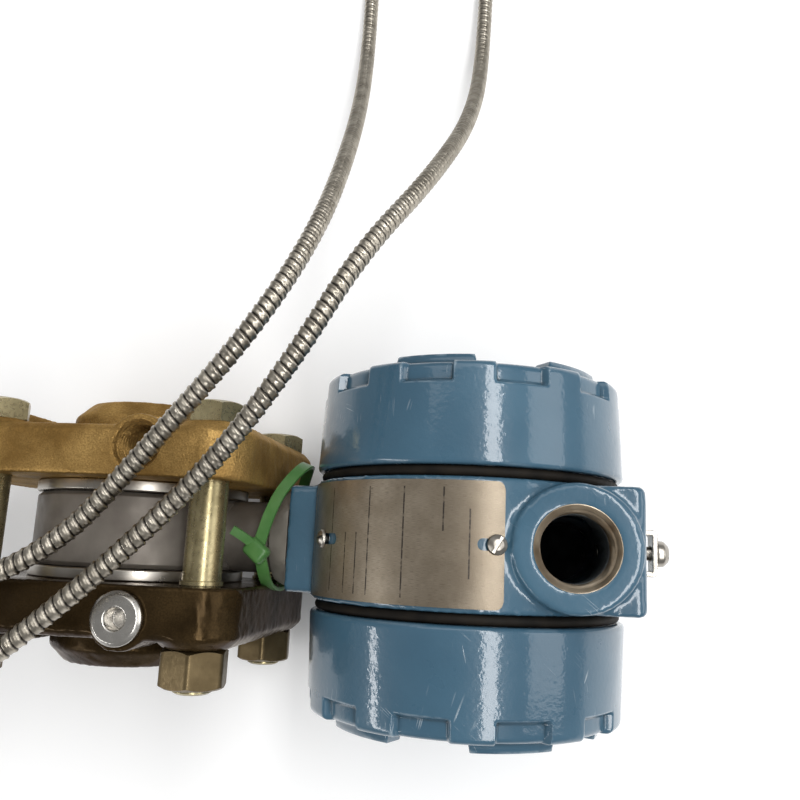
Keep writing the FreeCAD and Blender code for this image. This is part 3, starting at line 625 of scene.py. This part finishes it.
# Capillaries: points in mm from the housing's centre, those in view lifted to follow the photograph
capillarySizes = {
    "armour": {"Radius": 0.003, "Pitch": 0.0029, "Groove": 0.00085, "Step": 0.00021, "Sides": 18},
    "diameter": 0.006, "detail": 16, "coilRadius": 34.2, "beside": 39.2, "pointsPerTurn": 12,
    "turns": 1.5, "firstHeight": -45.0, "lastHeight": -39.0, "tail": 17.5,
}
routes = {
    "high": ((-191.2, 27, 0), (-226, 27, 0), (-253, 14, 32), (-224, -12, 58), (-167, -27.8, 57),
             (-111.4, -10.8, 53.4), (-81.4, 24.2, 55), (-56.4, 54.8, 56.4), (-44.4, 87, 43.4),
             (-42.6, 122.9, 18.6), (-45.2, 165, -14), (-49.3, 211.7, -41), (-50, 272, -44.8),
             (-50, 312, -45)),
    "low": ((-191.2, -27, 0), (-226, -27, 0), (-256, -44, 30), (-230, -72, 57), (-169.4, -71.8, 57.6),
            (-111.9, -28.6, 54.4), (-69.7, 11.1, 55.5), (-45, 44.4, 57.5), (-29.3, 78.8, 50),
            (-11.9, 113.1, 27.6), (-1.9, 152.9, -5.6), (-0.8, 202.7, -39.9), (0, 272, -44.8),
            (0, 312, -45)),
}


def coilPoints(last, side):  # the put-away turns, lying beside the end of the route
    sizes = capillarySizes
    beside, perTurn, lastHeight = sizes["beside"], sizes["pointsPerTurn"], sizes["lastHeight"]
    centreX = last[0] - beside * side
    count = int(sizes["turns"] * perTurn)
    rise = lastHeight - sizes["firstHeight"]
    points = []
    for step in range(1, count):
        turn = 2 * math.pi * step / perTurn
        part = min(1, max(0, (step / perTurn - 0.45) / 0.5))
        ease = max(0, 1 - step / 4, 1 - (count - step) / 4)
        radius = sizes["coilRadius"] + (beside - sizes["coilRadius"]) * ease
        points.append((centreX + side * radius * math.cos(turn), last[1] + radius * math.sin(turn),
                       sizes["firstHeight"] + rise * part))
    farX = centreX - beside * side
    return points + [(farX, last[1] + 1.5, lastHeight), (farX, last[1] - sizes["tail"], lastHeight)]


def smoothLine(name, points, detail, closed=False):  # the smooth line through a route or a loop
    curve = setAll(bpy.data.curves.new(name, "CURVE"), {"dimensions": "3D", "resolution_u": detail})
    spline = curve.splines.new("NURBS")
    spline.points.add(len(points) - 1)
    for control, point in zip(spline.points, points):
        control.co = at(*point).to_4d()
    setAll(spline, {"order_u": 3, "use_endpoint_u": not closed, "use_cyclic_u": closed})
    return bakedMesh(placed(name, curve))


# The fitting that a capillary ends in and the one on its flange, (along, radius) in mm
endSizes = {
    "sleeve": ((-16, 0), (-16, 3.6), (-18, 4.5), (-24.2, 4.5), (-24.2, 0)), "ease": 0.4, "steps": 48,
    "hexFlats": 18, "hexLow": -24, "hexHigh": -36, "neck": ((-36, 0), (-36, 5.6)), "ridges": 15,
    "ridgePitch": 1.5, "root": (-37, 5.9), "crest": (-37.6, 6.5),
    "stub": ((-59.3, 5.6), (-60, 4.6), (-60, 2.2), (-48, 2.2), (-48, 0)),
}
fittingSizes = {
    "startX": -168.2, "beside": 27, "hexFlats": 22, "hexLong": 11, "ease": 0.5, "steps": 48,
    "neck": ((-11, 0), (-11, 7.6), (-13, 6.4), (-14, 5.5), (-21, 5.2), (-23, 4.3), (-23, 0)),
    "stem": ((9, 0), (9, 6.6), (0.1, 6.75), (0.1, 0)),
}
cornerTurn = math.radians(30)


def makeEnd(side, last):  # sleeve, hexagon and threaded stub
    sizes = endSizes
    start = (last[0] - 2 * capillarySizes["beside"] * side, last[1], capillarySizes["lastHeight"])
    sleeve = easedTurn(sizes["sleeve"], sizes["ease"], start, "y", sizes["steps"])
    collar = hexBody(sizes["hexFlats"], sizes["hexLow"], sizes["hexHigh"], start, "y", cornerTurn)
    thread = list(sizes["neck"])
    for ridge in range(sizes["ridges"]):
        down = ridge * sizes["ridgePitch"]
        thread += [(along - down, radius) for along, radius in (sizes["root"], sizes["crest"])]
    thread += sizes["stub"]
    return joined((sleeve, collar, turned(thread, start, "y", sizes["steps"])))


def makeFitting(side):  # hexagon with a neck outside and a stem in the port
    sizes = fittingSizes
    start = (sizes["startX"], sizes["beside"] * side, 0)
    collar = hexBody(sizes["hexFlats"], 0, -sizes["hexLong"], start, "x", cornerTurn)
    neck = easedTurn(sizes["neck"], sizes["ease"], start, "x", sizes["steps"])
    return joined((collar, neck, turned(sizes["stem"], start, "x", sizes["steps"])))


tubeTree = armourTree()
for name, side in (("high", 1), ("low", -1)):
    label = "capillary_" + name
    route = list(routes[name])
    line = smoothLine(label, route + coilPoints(route[-1], side), capillarySizes["detail"])
    values = {"Material": armour, **capillarySizes["armour"]}
    tubeMesh = runTree(placed(label + "Rail", line), tubeTree, values)
    tube = addMesh(label + "Armour", tubeMesh, armour, 180)
    fit(tube, "sensor", "armour", label + "_tube", label + "_coil")
    end = shaped(label + "End", makeEnd(side, route[-1]), steels["dullSteel"])
    fit(end, "sensor", "armour", label + "_end")
    fitting = shaped(label + "Fitting", makeFitting(side), steels["greySteel"])
    fit(fitting, "sensor", "stainless", label + "_fitting")

# Covers: a drafted cap with pockets round its rim and lugs over every second pocket
coverSizes = {
    "steps": 720, "pockets": 11, "pocketWide": 14.5, "pocketLow": 43.2, "pocketDeep": 2.3,
    "pocketSoft": 0.9, "pocketAt": 46.5, "fadeFrom": 41.2, "fadeOver": 4, "topFrom": 49, "wearReach": 3.0,
    "lugOuter": 40.5, "lugInner": 33.5, "lugTall": 3.1, "lugAngle": 34, "lugSoft": 0.8, "lastLug": 8,
    "cavity": ((0, 45.3), (30, 45.3), (38, 45.3), (39, 44.3), (39, 34.7), (43.6, 34.7)),
    "ridges": 8, "ridgePitch": 1.5, "root": (44.0, 33.6), "crest": (43.6, 32.9),
    "mouth": ((44.1, 21.6), (44.8, 20.75)),
    "lip": ((46.4, 20.7), (47.2, 20.8), (47.75, 21.2), (48.0, 21.9)),
    "wall": ((47.97, 22.6), (47.17, 42), (46.97, 47.5)), "wallSteps": (20, 14),
    "rimCentre": (45.0, 47.5), "rimRound": (1.95, 2), "rimSteps": 7,
    "top": ((44.6, 49.5), (41.6, 49.5), (39.4, 49.5), (34.6, 49.5), (32.4, 49.5)), "topSteps": (5, 8, 4, 8),
    "middle": ((32.4, 49.5), (28, 49.4), (20, 49.2), (8, 49.1), (0, 49.1)),
}


def spans(points, counts):  # each leg of a profile cut into steps, without its last point
    rows = []
    for first, last, count in zip(points, points[1:], counts):
        first, last = np.array(first), np.array(last)
        rows += [tuple(first + (last - first) * step / count) for step in range(count)]
    return rows


def coverRows():  # (radius, height) rows from the cavity round the mouth and the rim to the top
    sizes = coverSizes
    inside = list(sizes["cavity"])
    for ridge in range(sizes["ridges"]):
        inside += [(radius, height - ridge * sizes["ridgePitch"])
                   for radius, height in (sizes["root"], sizes["crest"])]
    inside += sizes["mouth"]
    outside = list(sizes["lip"]) + spans(sizes["wall"], sizes["wallSteps"])
    for step in range(sizes["rimSteps"] + 1):
        angle = math.pi / 2 * step / sizes["rimSteps"]
        outside.append((sizes["rimCentre"][0] + sizes["rimRound"][0] * math.cos(angle),
                        sizes["rimCentre"][1] + sizes["rimRound"][1] * math.sin(angle)))
    outside += spans(sizes["top"], sizes["topSteps"])
    outside += sizes["middle"]
    return inside, outside


def makeCover(name, firstPocket, flip):
    sizes = coverSizes
    inside, outside = coverRows()
    rows = np.array(inside + outside)
    steps = sizes["steps"]
    angles = np.arange(steps) * 2 * math.pi / steps
    radius = np.repeat(rows[:, :1], steps, 1)
    height = np.repeat(rows[:, 1:], steps, 1)
    outer = (np.arange(len(rows)) >= len(inside))[:, None]
    pocket = np.zeros_like(radius)
    lug = np.zeros_like(radius)
    for number in range(sizes["pockets"]):
        centre = math.radians(firstPocket + number * 360 / sizes["pockets"])
        away = np.abs((angles - centre + math.pi) % (2 * math.pi) - math.pi)[None, :]
        wide = smoothStep((sizes["pocketWide"] / 2 - away * sizes["pocketAt"]) / sizes["pocketSoft"] + 0.5)
        tall = smoothStep((height - sizes["pocketLow"]) / (sizes["pocketSoft"] * 1.3))
        pocket = np.maximum(pocket, wide * tall)
        if number % 2 == 0 and number <= sizes["lastLug"]:
            edge = math.radians(sizes["lugAngle"] / 2) * radius - away * radius
            raised = smoothStep(edge / sizes["lugSoft"] + 0.5)
            raised = raised * smoothStep((radius - sizes["lugInner"]) / sizes["lugSoft"] + 0.5)
            raised = raised * smoothStep((sizes["lugOuter"] - radius) / sizes["lugSoft"] + 0.5)
            lug = np.maximum(lug, raised * (height > sizes["topFrom"]))
    fade = np.clip((radius - sizes["fadeFrom"]) / sizes["fadeOver"], 0, 1)
    shrink = sizes["pocketDeep"] * pocket * fade
    radius = np.where(outer, radius - shrink, radius)
    height = np.where(outer, height + sizes["lugTall"] * lug, height)
    points = np.stack((radius * np.sin(angles) / 1000 + homeX, flip * height / 1000,
                       radius * np.cos(angles) / 1000 + homeZ), 2).reshape(-1, 3)
    faces = []
    for row in range(len(rows) - 1):
        faces += ringFaces(row * steps, (row + 1) * steps, steps)
    mesh = closedMesh(name, points, faces)
    markEdges(mesh, sizes["wearReach"])
    return addMesh(name, mesh, paint, 60)


fit(makeCover("circuitCover", -11.9, 1), "circuit_cover", "blue_paint", "circuit_cover")
fit(makeCover("terminalCover", -42.4, -1), "terminal_cover", "blue_paint", "terminal_cover")
print("covers made")

# Castings: the housing and the two flanges
castingSizes = {
    "housing": {"voxel": 0.8, "rounds": 8, "keep": 0.8},
    "flange": {"voxel": 0.66, "rounds": 10, "keep": 0.85, "lumps": 0.3},
    "portEnd": ((10, 0), (10, 7.4), (14.6, 7.4), (14.6, 0)), "wearReach": 1.1,
}
for name, nodeName, body, slot, material, portSide in (
        ("housingCasting", "electronics_housing", "housing", "blue_paint", paint, 0),
        ("highFlange", "high_flange", "sensor", "yellow_casting", castings["yellowCasting"], 1),
        ("lowFlange", "low_flange", "sensor", "brown_casting", castings["brownCasting"], -1)):
    portEnd = None
    if portSide:  # closes the inner end of the process port
        start = (fittingSizes["startX"], fittingSizes["beside"] * portSide, 0)
        portEnd = turned(castingSizes["portEnd"], start, "x", fittingSizes["steps"])
    mesh = castCopy(nodeName, extra=portEnd, **castingSizes["flange" if portSide else "housing"])
    markEdges(mesh, castingSizes["wearReach"])
    fit(addMesh(name, mesh, material, 180), body, slot, nodeName)
print("castings made")


# Threaded walls of the conduit entry and of the open vent port
threadMesh = {"steps": 120, "rowsPerTurn": 7, "wall": 0.3, "fadeOver": 1.2}
threadSizes = {
    "conduitThread": {"start": (31, 0), "radius": 10.2, "mouth": 11.05, "mouthDeep": 1.2, "face": 46.95,
                      "low": 33.2, "depth": 0.85, "pitch": 1.81, "body": "housing", "slot": "stainless"},
    "ventThread": {"start": (-91.7, 24), "radius": 6.8, "mouth": 7.3, "mouthDeep": 0.7, "face": 45.2,
                   "low": 31.6, "depth": 0.7, "pitch": 1.41, "body": "sensor", "slot": "yellow_casting"},
}


def threadPiece(name, material):
    sizes, steps = threadSizes[name], threadMesh["steps"]
    low, face, pitch = sizes["low"], sizes["face"], sizes["pitch"]
    top = face - sizes["mouthDeep"]
    wall = sizes["radius"] + threadMesh["wall"]
    rows = [(low, wall, False), (top, wall, False), (face - 0.05, sizes["mouth"] + 0.2, False),
            (face, sizes["mouth"], False)]
    count = int((top - low) / (pitch / threadMesh["rowsPerTurn"]))
    rows += [(top - (top - low) * step / count, sizes["radius"], True) for step in range(count + 1)]
    points, faces = [], []
    for along, radius, cutThread in rows:
        fade = min(1, max(0, (top - along) / threadMesh["fadeOver"] + 0.15))
        for step in range(steps):
            angle = 2 * math.pi * step / steps
            phase = (along / pitch + step / steps) % 1
            reach = radius - sizes["depth"] * (1 - abs(2 * phase - 1)) * fade * cutThread
            x, y = sizes["start"]
            points.append(at(x + reach * math.cos(angle), y + reach * math.sin(angle), along))
    for row in range(len(rows)):
        faces += ringFaces(row * steps, (row + 1) % len(rows) * steps, steps)
    return fit(shaped(name, (points, faces), material, 60), sizes["body"], sizes["slot"])


threadPiece("conduitThread", steels["boreSteel"])
threadPiece("ventThread", castings["yellowCasting"])

# Flange bolts and nuts, set round the flanges by a node tree
boltSizes = {
    "centre": (-108.7, 0, 0), "set": {"Spacing X": 0.07, "Spacing Z": 0.0656}, "seat": 32, "steps": 48,
    "headFlats": 15.9, "headThick": 6.3, "headTurn": 90, "headCrown": 0.93, "nutFlats": 17.46,
    "nutThick": 10.7, "nutTurn": 72, "nutCrown": 0.95, "nutGap": 0.1, "shank": 5.56, "tip": 1.5,
    "ridges": 7, "ridgePitch": 1.6, "ringAt": -14.9, "ringRadius": 6.15,
}


def boltParts():
    sizes = boltSizes
    seat, shank, ring = sizes["seat"], sizes["shank"], sizes["ringRadius"]
    head = hexBody(sizes["headFlats"], seat, seat + sizes["headThick"], (0, 0, 0), "y",
                   math.radians(sizes["headTurn"]), 0, sizes["headCrown"])
    end = -seat - sizes["nutThick"] - sizes["tip"]
    foot = sizes["ringAt"]  # a thin ring where the shank enters the low flange
    profile = [(seat, 0), (seat, shank), (foot + 1.5, shank), (foot + 1.3, ring), (foot + 0.2, ring),
               (foot, shank), (-seat, shank)]
    for ridge in range(sizes["ridges"]):
        along = -seat - ridge * sizes["ridgePitch"]
        profile += [(along - 0.5, shank - 0.5), (along - 1.2, shank)]
    profile += [(end + 0.6, shank), (end, shank - 0.9), (end, 0)]
    return joined((head, turned(profile, (0, 0, 0), "y", sizes["steps"])))


def nutParts():
    sizes = boltSizes
    low, high = -sizes["seat"], -sizes["seat"] - sizes["nutThick"]
    return hexBody(sizes["nutFlats"], low, high, (0, 0, 0), "y", math.radians(sizes["nutTurn"]),
                   sizes["shank"] + sizes["nutGap"], sizes["nutCrown"], both=True)


setTree = fastenerTree()
for name, parts, hidden, material in (("flangeBolts", boltParts(), "flange_bolt_", steels["yellowSteel"]),
                                      ("flangeNuts", nutParts(), "flange_nut_", steels["nutSteel"])):
    points, faces = parts
    local = [point - at(0, 0, 0) for point in points]
    single = shaped(name + "Single", (local, faces), material)
    holder = placed(name + "Holder", bpy.data.meshes.new(name + "Holder"))
    mesh = runTree(holder, setTree, {"Fastener": single, "Material": material, **boltSizes["set"]})
    bpy.data.objects.remove(single)
    mesh.transform(Matrix.Translation(at(*boltSizes["centre"])))
    fit(addMesh(name, mesh, material), "sensor", "yellow_steel", *[hidden + str(n) for n in range(1, 5)])
print("fasteners made")

# Sensor cell with its stem, isolator rings, lock nut and vent plugs, (along, radius) in mm
cellSizes = {
    "start": (-108.7, 0, 0), "steps": 128, "stemSteps": 72, "ease": 0.3, "ringEase": 0.15,
    "cell": ((-11.2, 0), (-11.2, 32.2), (-10, 33.5), (10, 33.5), (11.2, 32.2), (11.2, 0)),
    "stem": ((20, 0), (20, 11.4), (44, 11.4), (45, 10.9), (47, 10.9), (48, 11.4), (65.7, 11.4), (65.7, 0)),
    "ring": ((11.4, 0), (11.4, 33.6), (11.8, 34), (14.6, 34), (15, 33.6), (15, 0)),
}
lockNutSizes = {"flats": 28, "low": -54.8, "high": -60.4, "hole": 11.45, "crown": 1.0, "steep": 2.2}
plugSizes = {  # the profile runs down from the face
    "x": -91.7, "y": 24, "front": 47.7, "rear": -48, "steps": 72, "ease": 0.25,
    "profile": ((-10, 0), (-10, 6.6), (-2.5, 6.75), (-2.3, 7.5), (-0.9, 7.5), (0, 6.4), (0, 3.4), (-0.4, 3),
                (-5.5, 3), (-5.5, 0)),
}


body = easedTurn(cellSizes["cell"], cellSizes["ease"], cellSizes["start"], "y", cellSizes["steps"])
stem = easedTurn(cellSizes["stem"], cellSizes["ease"], cellSizes["start"], "x", cellSizes["stemSteps"])
sensorPieces = [("sensorCell", joined((body, stem)), "greySteel", "sensor_module")]
for name, out in (("high", 1), ("low", -1)):
    ring = easedTurn(cellSizes["ring"], cellSizes["ringEase"], cellSizes["start"], "y", cellSizes["steps"],
                     out)
    sensorPieces.append((name + "Isolator", ring, "dullSteel", "isolator_" + name))
lockNut = hexBody(start=(0, 0, 0), axis="x", **lockNutSizes)
sensorPieces.append(("lockNut", lockNut, "hexSteel", "lock_nut"))
for name, nodeName, side, face, out in (("lowFrontPlug", "vent_plug_low_front", -1, "front", 1),
                                        ("lowRearPlug", "vent_plug_low_rear", -1, "rear", -1),
                                        ("highRearPlug", "vent_plug_high_rear", 1, "rear", -1)):
    start = (plugSizes["x"], plugSizes["y"] * side, 0)
    plug = easedTurn(plugSizes["profile"], plugSizes["ease"], start, "z", plugSizes["steps"], out,
                     plugSizes[face])
    sensorPieces.append((name, plug, "brightSteel", nodeName))
for name, parts, steel, nodeName in sensorPieces:
    fit(shaped(name, parts, steels[steel]), "sensor", "stainless", nodeName)

# Nameplate with its slots and screws
plateSizes = {
    "inner": 47.6, "outer": 48.3, "start": -70, "end": 15, "half": 16.4, "corner": 2.2, "arcSteps": 170,
    "heightSteps": 40, "screws": (-56.6, 12.6), "slots": ((3.6, 10.4), (-1.7, 6.8)), "slotWide": 3.2,
    "slotReach": (44, 52), "slotSteps": 32, "screwTurns": (15, 60), "screwEase": 0.25,
    "screw": ((43, 0), (43, 1.3), (48.35, 1.3), (48.35, 2.75), (49.2, 2.6), (50.1, 1.4), (50.25, 0)),
}


def plateParts():
    sizes = plateSizes
    points, faces = [], []
    across = sizes["arcSteps"] + 1
    up = sizes["heightSteps"] + 1
    startArc = math.radians(sizes["start"]) * sizes["outer"]
    endArc = math.radians(sizes["end"]) * sizes["outer"]
    for radius in (sizes["inner"], sizes["outer"]):
        for column in range(across):
            arc = startArc + (endArc - startArc) * column / sizes["arcSteps"]
            inset = max(0, sizes["corner"] - min(arc - startArc, endArc - arc))
            half = sizes["half"] - sizes["corner"] + math.sqrt(max(0, sizes["corner"] ** 2 - inset ** 2))
            angle = arc / sizes["outer"]
            for row in range(up):
                y = half * (2 * row / sizes["heightSteps"] - 1)
                points.append(at(radius * math.sin(angle), y, radius * math.cos(angle)))
    offset = across * up
    for column in range(across - 1):
        for row in range(up - 1):
            corner = column * up + row
            quad = (corner, corner + 1, corner + up + 1, corner + up)
            faces.append(quad)
            faces.append(tuple(offset + index for index in reversed(quad)))
    rim = list(range(up)) + [column * up + up - 1 for column in range(1, across)]
    rim += [(across - 1) * up + row for row in range(up - 2, -1, -1)]
    rim += [column * up for column in range(across - 2, 0, -1)]
    for first, second in zip(rim, rim[1:] + rim[:1]):
        faces.append((first, second, offset + second, offset + first))
    return points, faces


def slotParts(degrees, shiftMm, long):  # a cutter with round ends, pointing out of the drum
    wide, count = plateSizes["slotWide"], plateSizes["slotSteps"]
    angle = math.radians(degrees) + shiftMm / plateSizes["outer"]
    out = Vector((math.sin(angle), 0, math.cos(angle)))
    side = Vector((math.cos(angle), 0, -math.sin(angle)))
    points = []
    for depth in plateSizes["slotReach"]:
        for step in range(count):
            turn = 2 * math.pi * step / count
            reach = (long - wide) / 2 * (1 if math.cos(turn) > 0 else -1) + wide / 2 * math.cos(turn)
            points.append(at(*(out * depth + side * reach + Vector((0, wide / 2 * math.sin(turn), 0)))))
    faces = [tuple(range(count)), tuple(range(2 * count - 1, count - 1, -1))]
    return points, faces + ringFaces(0, count, count)


plate = shaped("dataPlate", plateParts(), plateSteel)
for degrees, (shiftMm, long) in zip(plateSizes["screws"], plateSizes["slots"]):
    plate = carve(plate, slotParts(degrees, shiftMm, long))
for layer in list(plate.data.uv_layers):
    plate.data.uv_layers.remove(layer)
plateMap = plate.data.uv_layers.new(name="plateMap")
for loop in plate.data.loops:
    spot = plate.data.vertices[loop.vertex_index].co
    angle = math.degrees(math.atan2(spot.x - homeX, spot.z - homeZ)) - plateSizes["start"]
    plateMap.data[loop.index].uv = (math.radians(angle) * plateSizes["outer"], spot.y * 1000)
fit(plate, "housing", "bright_stainless", "nameplate")


headSlot = {"steps": 64, "halfLong": 4, "halfWide": 0.4, "deep": 0.9, "above": 1}


def radialPiece(name, profile, degrees, material, slotTurn):  # a slotted head pointing out of the drum
    piece = shaped(name, turned(profile, (0, 0, 0), "z", headSlot["steps"]), material)
    top = max(along for along, radius in profile)
    cos, sin = math.cos(math.radians(slotTurn)), math.sin(math.radians(slotTurn))
    halfLong, halfWide = headSlot["halfLong"], headSlot["halfWide"]
    corners = []
    for z in (top - headSlot["deep"], top + headSlot["above"]):
        for signX, signY in ((-1, -1), (1, -1), (1, 1), (-1, 1)):
            x, y = signX * halfLong, signY * halfWide
            corners.append(at(x * cos - y * sin, x * sin + y * cos, z))
    box = [(0, 1, 2, 3), (7, 6, 5, 4), (0, 4, 5, 1), (1, 5, 6, 2), (2, 6, 7, 3), (3, 7, 4, 0)]
    piece = carve(piece, (corners, box))
    swing = Matrix.Translation(at(0, 0, 0)) @ Matrix.Rotation(math.radians(degrees), 4, "Y")
    piece.data.transform(swing @ Matrix.Translation(-at(0, 0, 0)))
    return piece


screwProfile = eased(plateSizes["screw"], plateSizes["screwEase"])
screwTurns = zip(plateSizes["screws"], plateSizes["screwTurns"])
for number, (degrees, slotTurn) in enumerate(screwTurns, start=1):
    screw = radialPiece("nameplateScrew%d" % number, screwProfile, degrees, steels["dullSteel"], slotTurn)
    fit(screw, "housing", "bright_stainless", "nameplate_screw_%d" % number)
print("nameplate made")

# Ground clamp and its screw
groundSizes = {
    "clamp": {"voxel": 0.2, "rounds": 4}, "turn": 90, "slotTurn": 20, "screwEase": 0.5,
    "screw": ((40, 0), (40, 2.1), (58.05, 2.1), (58.05, 4.0), (60.2, 3.9), (61.7, 2.4), (62, 0)),
}
clampMesh = castCopy("ground_clamp", **groundSizes["clamp"])
clamp = addMesh("groundClamp", clampMesh, steels["dullSteel"], 180)
fit(clamp, "housing", "bright_stainless", "ground_clamp")
groundProfile = eased(groundSizes["screw"], groundSizes["screwEase"])
groundScrew = radialPiece("groundScrew", groundProfile, groundSizes["turn"], steels["dullSteel"],
                          groundSizes["slotTurn"])
fit(groundScrew, "housing", "bright_stainless", "ground_screw")

# Cable tie: a loop of strap round the stem, its head in front and its tail cut short
tieSizes = {
    "loop": ((-62.2, -3.6, 18.4), (-61.2, 0.6, 18.9), (-59.1, 7.9, 18.6), (-56.8, 14, 17),
             (-53.6, 19.4, 14.4), (-51.4, 23, 10), (-51.8, 23.6, 3), (-54.5, 22.8, -6), (-58, 18, -14),
             (-61, 8, -19), (-62, -4, -19.4), (-61.6, -13.2, -14), (-61.6, -16.8, -4), (-61.4, -15.6, 7.6),
             (-61, -12.2, 14.2), (-61.2, -7.8, 17.6)),
    "tail": ((-62.4, -3.4, 20), (-64.3, -1.3, 21), (-69.4, 1.6, 23)), "tailPart": 0.75,
    "centre": (-61, 0, 0), "wide": 3.7, "thick": 1.1, "detail": 10, "head": (7.4, 5.8, 4.4),
    "headAt": (-62.4, -4.4, 19.4), "headTurn": -38, "headTilt": -8, "headRound": 0.0014,
}


def tieStrap(route, closed, wide):  # a strap along a route, its flat side turned to the tie's centre
    line = smoothLine("tieLine", route, tieSizes["detail"], closed)
    points = [vertex.co.copy() for vertex in line.vertices]
    heart = at(*tieSizes["centre"])
    corners = []
    for sx, sy in ((1, 1), (-1, 1), (-1, -1), (1, -1)):
        for part in ((1, 0.6), (0.92, 1)) if sx * sy > 0 else ((0.92, 1), (1, 0.6)):
            corners.append((sx * part[0] * wide / 2000, sy * part[1] * tieSizes["thick"] / 2000))
    ringSize = len(corners)
    verts, faces = [], []
    count = len(points)
    for index, spot in enumerate(points):
        ahead = points[(index + 1) % count] if closed or index < count - 1 else spot
        behind = points[index - 1] if closed or index else spot
        tangent = (ahead - behind).normalized()
        away = spot - heart
        away -= tangent * away.dot(tangent)
        away.normalize()
        cross = tangent.cross(away)
        for across, outward in corners:
            verts.append(spot + cross * across + away * outward)
    for index in range(count if closed else count - 1):
        faces += ringFaces(index * ringSize, (index + 1) % count * ringSize, ringSize)
    if not closed:
        faces.append(tuple(range(ringSize)))
        faces.append(tuple(range(len(verts) - 1, len(verts) - ringSize - 1, -1)))
    return verts, faces


def tieHead():
    work = bmesh.new()
    bmesh.ops.create_cube(work, size=1)
    bmesh.ops.scale(work, vec=Vector(tieSizes["head"]) / 1000, verts=work.verts)
    bmesh.ops.bevel(work, geom=list(work.edges), offset=tieSizes["headRound"], segments=4, affect="EDGES",
                    profile=0.5)
    swing = Matrix.Rotation(math.radians(tieSizes["headTurn"]), 4, "Z")
    swing = Matrix.Translation(at(*tieSizes["headAt"])) @ swing
    tilt = Matrix.Rotation(math.radians(tieSizes["headTilt"]), 4, "Y")
    bmesh.ops.transform(work, matrix=swing @ tilt, verts=work.verts)
    work.verts.index_update()
    points = [vert.co.copy() for vert in work.verts]
    faces = [tuple(vert.index for vert in face.verts) for face in work.faces]
    work.free()
    return points, faces


strap = tieStrap(tieSizes["loop"], True, tieSizes["wide"])
tail = tieStrap(tieSizes["tail"], False, tieSizes["wide"] * tieSizes["tailPart"])
tie = shaped("cableTie", joined((strap, tail, tieHead())), greenPlastic)
fit(tie, "sensor", "green_plastic", "cable_tie")

# CAD nodes that stay, with their finishes
finishes = {
    "circuit_cover_seal": sealRubber, "terminal_cover_seal": sealRubber, "terminal_block": blackPlastic,
    "amplifier_board": boardGreen, "rear_conduit_plug": steels["darkSteel"],
    "zero_adjuster": steels["brass"], "span_adjuster": steels["brass"],
}
for number in (1, 2, 3):
    finishes["terminal_screw_%d" % number] = steels["brass"]
    finishes["board_post_%d" % number] = steels["brass"]
for nodeName, material in finishes.items():
    nodes[nodeName].data.materials.clear()
    nodes[nodeName].data.materials.append(material)
print("small pieces made")

# Floor, light and view
stageSizes = {
    "floor": 30.0, "floorHeight": -0.0004, "floorColour": (0.92, 0.92, 0.92, 1), "floorRough": 0.8,
    "glow": 0.12, "worldStrength": 0.3, "aim": (0.06, 0, 0.05),
}
lamps = {
    "overhead": {"place": (-0.1, 0.75, 1.1), "size": 1.0, "size_y": 0.7, "energy": 2.8},
    "rightStrip": {"place": (0.37, 0.02, 0.86), "size": 1.3, "size_y": 0.15, "energy": 7.0},
    "leftStrip": {"place": (-0.62, -0.4, 0.5), "size": 0.6, "size_y": 0.06, "energy": 1.6},
    "rightPanel": {"place": (0.95, 0.1, 0.55), "size": 0.8, "size_y": 0.5, "energy": 3.0},
}


def makeFloor():
    sizes = stageSizes
    material, tree, shader = startMaterial("paleFloor", {
        "Base Color": sizes["floorColour"], "Roughness": sizes["floorRough"],
        "Emission Color": (1, 1, 1, 1)})
    rays = addNode(tree, "ShaderNodeLightPath")
    seen = combine(tree, "MAXIMUM", rays["Is Camera Ray"], rays["Is Glossy Ray"])
    seen = combine(tree, "MAXIMUM", seen, rays["Is Transmission Ray"])
    tree.links.new(combine(tree, "MULTIPLY", seen, sizes["glow"]), shader.inputs["Emission Strength"])
    half = sizes["floor"] / 2
    signs = ((-1, -1), (1, -1), (1, 1), (-1, 1))
    corners = [(half * signX, half * signY, sizes["floorHeight"]) for signX, signY in signs]
    mesh = bpy.data.meshes.new("floor")
    mesh.from_pydata(corners, [], [(0, 1, 2, 3)])
    floor = addMesh("floor", mesh, material)


def addLamp(name, place, **settings):
    lamp = setAll(bpy.data.lights.new(name, "AREA"), {"shape": "RECTANGLE", **settings})
    holder = placed(name, lamp)
    holder.location = place
    aim = Vector(stageSizes["aim"]) - Vector(place)
    holder.rotation_euler = aim.to_track_quat("-Z", "Y").to_euler()


def makeWorld():
    scene.world = bpy.data.worlds.new("studio")
    scene.world.use_nodes = True
    back = scene.world.node_tree.nodes["Background"]
    back.inputs["Color"].default_value = (1, 1, 1, 1)
    back.inputs["Strength"].default_value = stageSizes["worldStrength"]


makeFloor()
makeWorld()
for name, settings in lamps.items():
    addLamp(name, **settings)
scene.view_settings.view_transform = "Standard"
print("stage made")
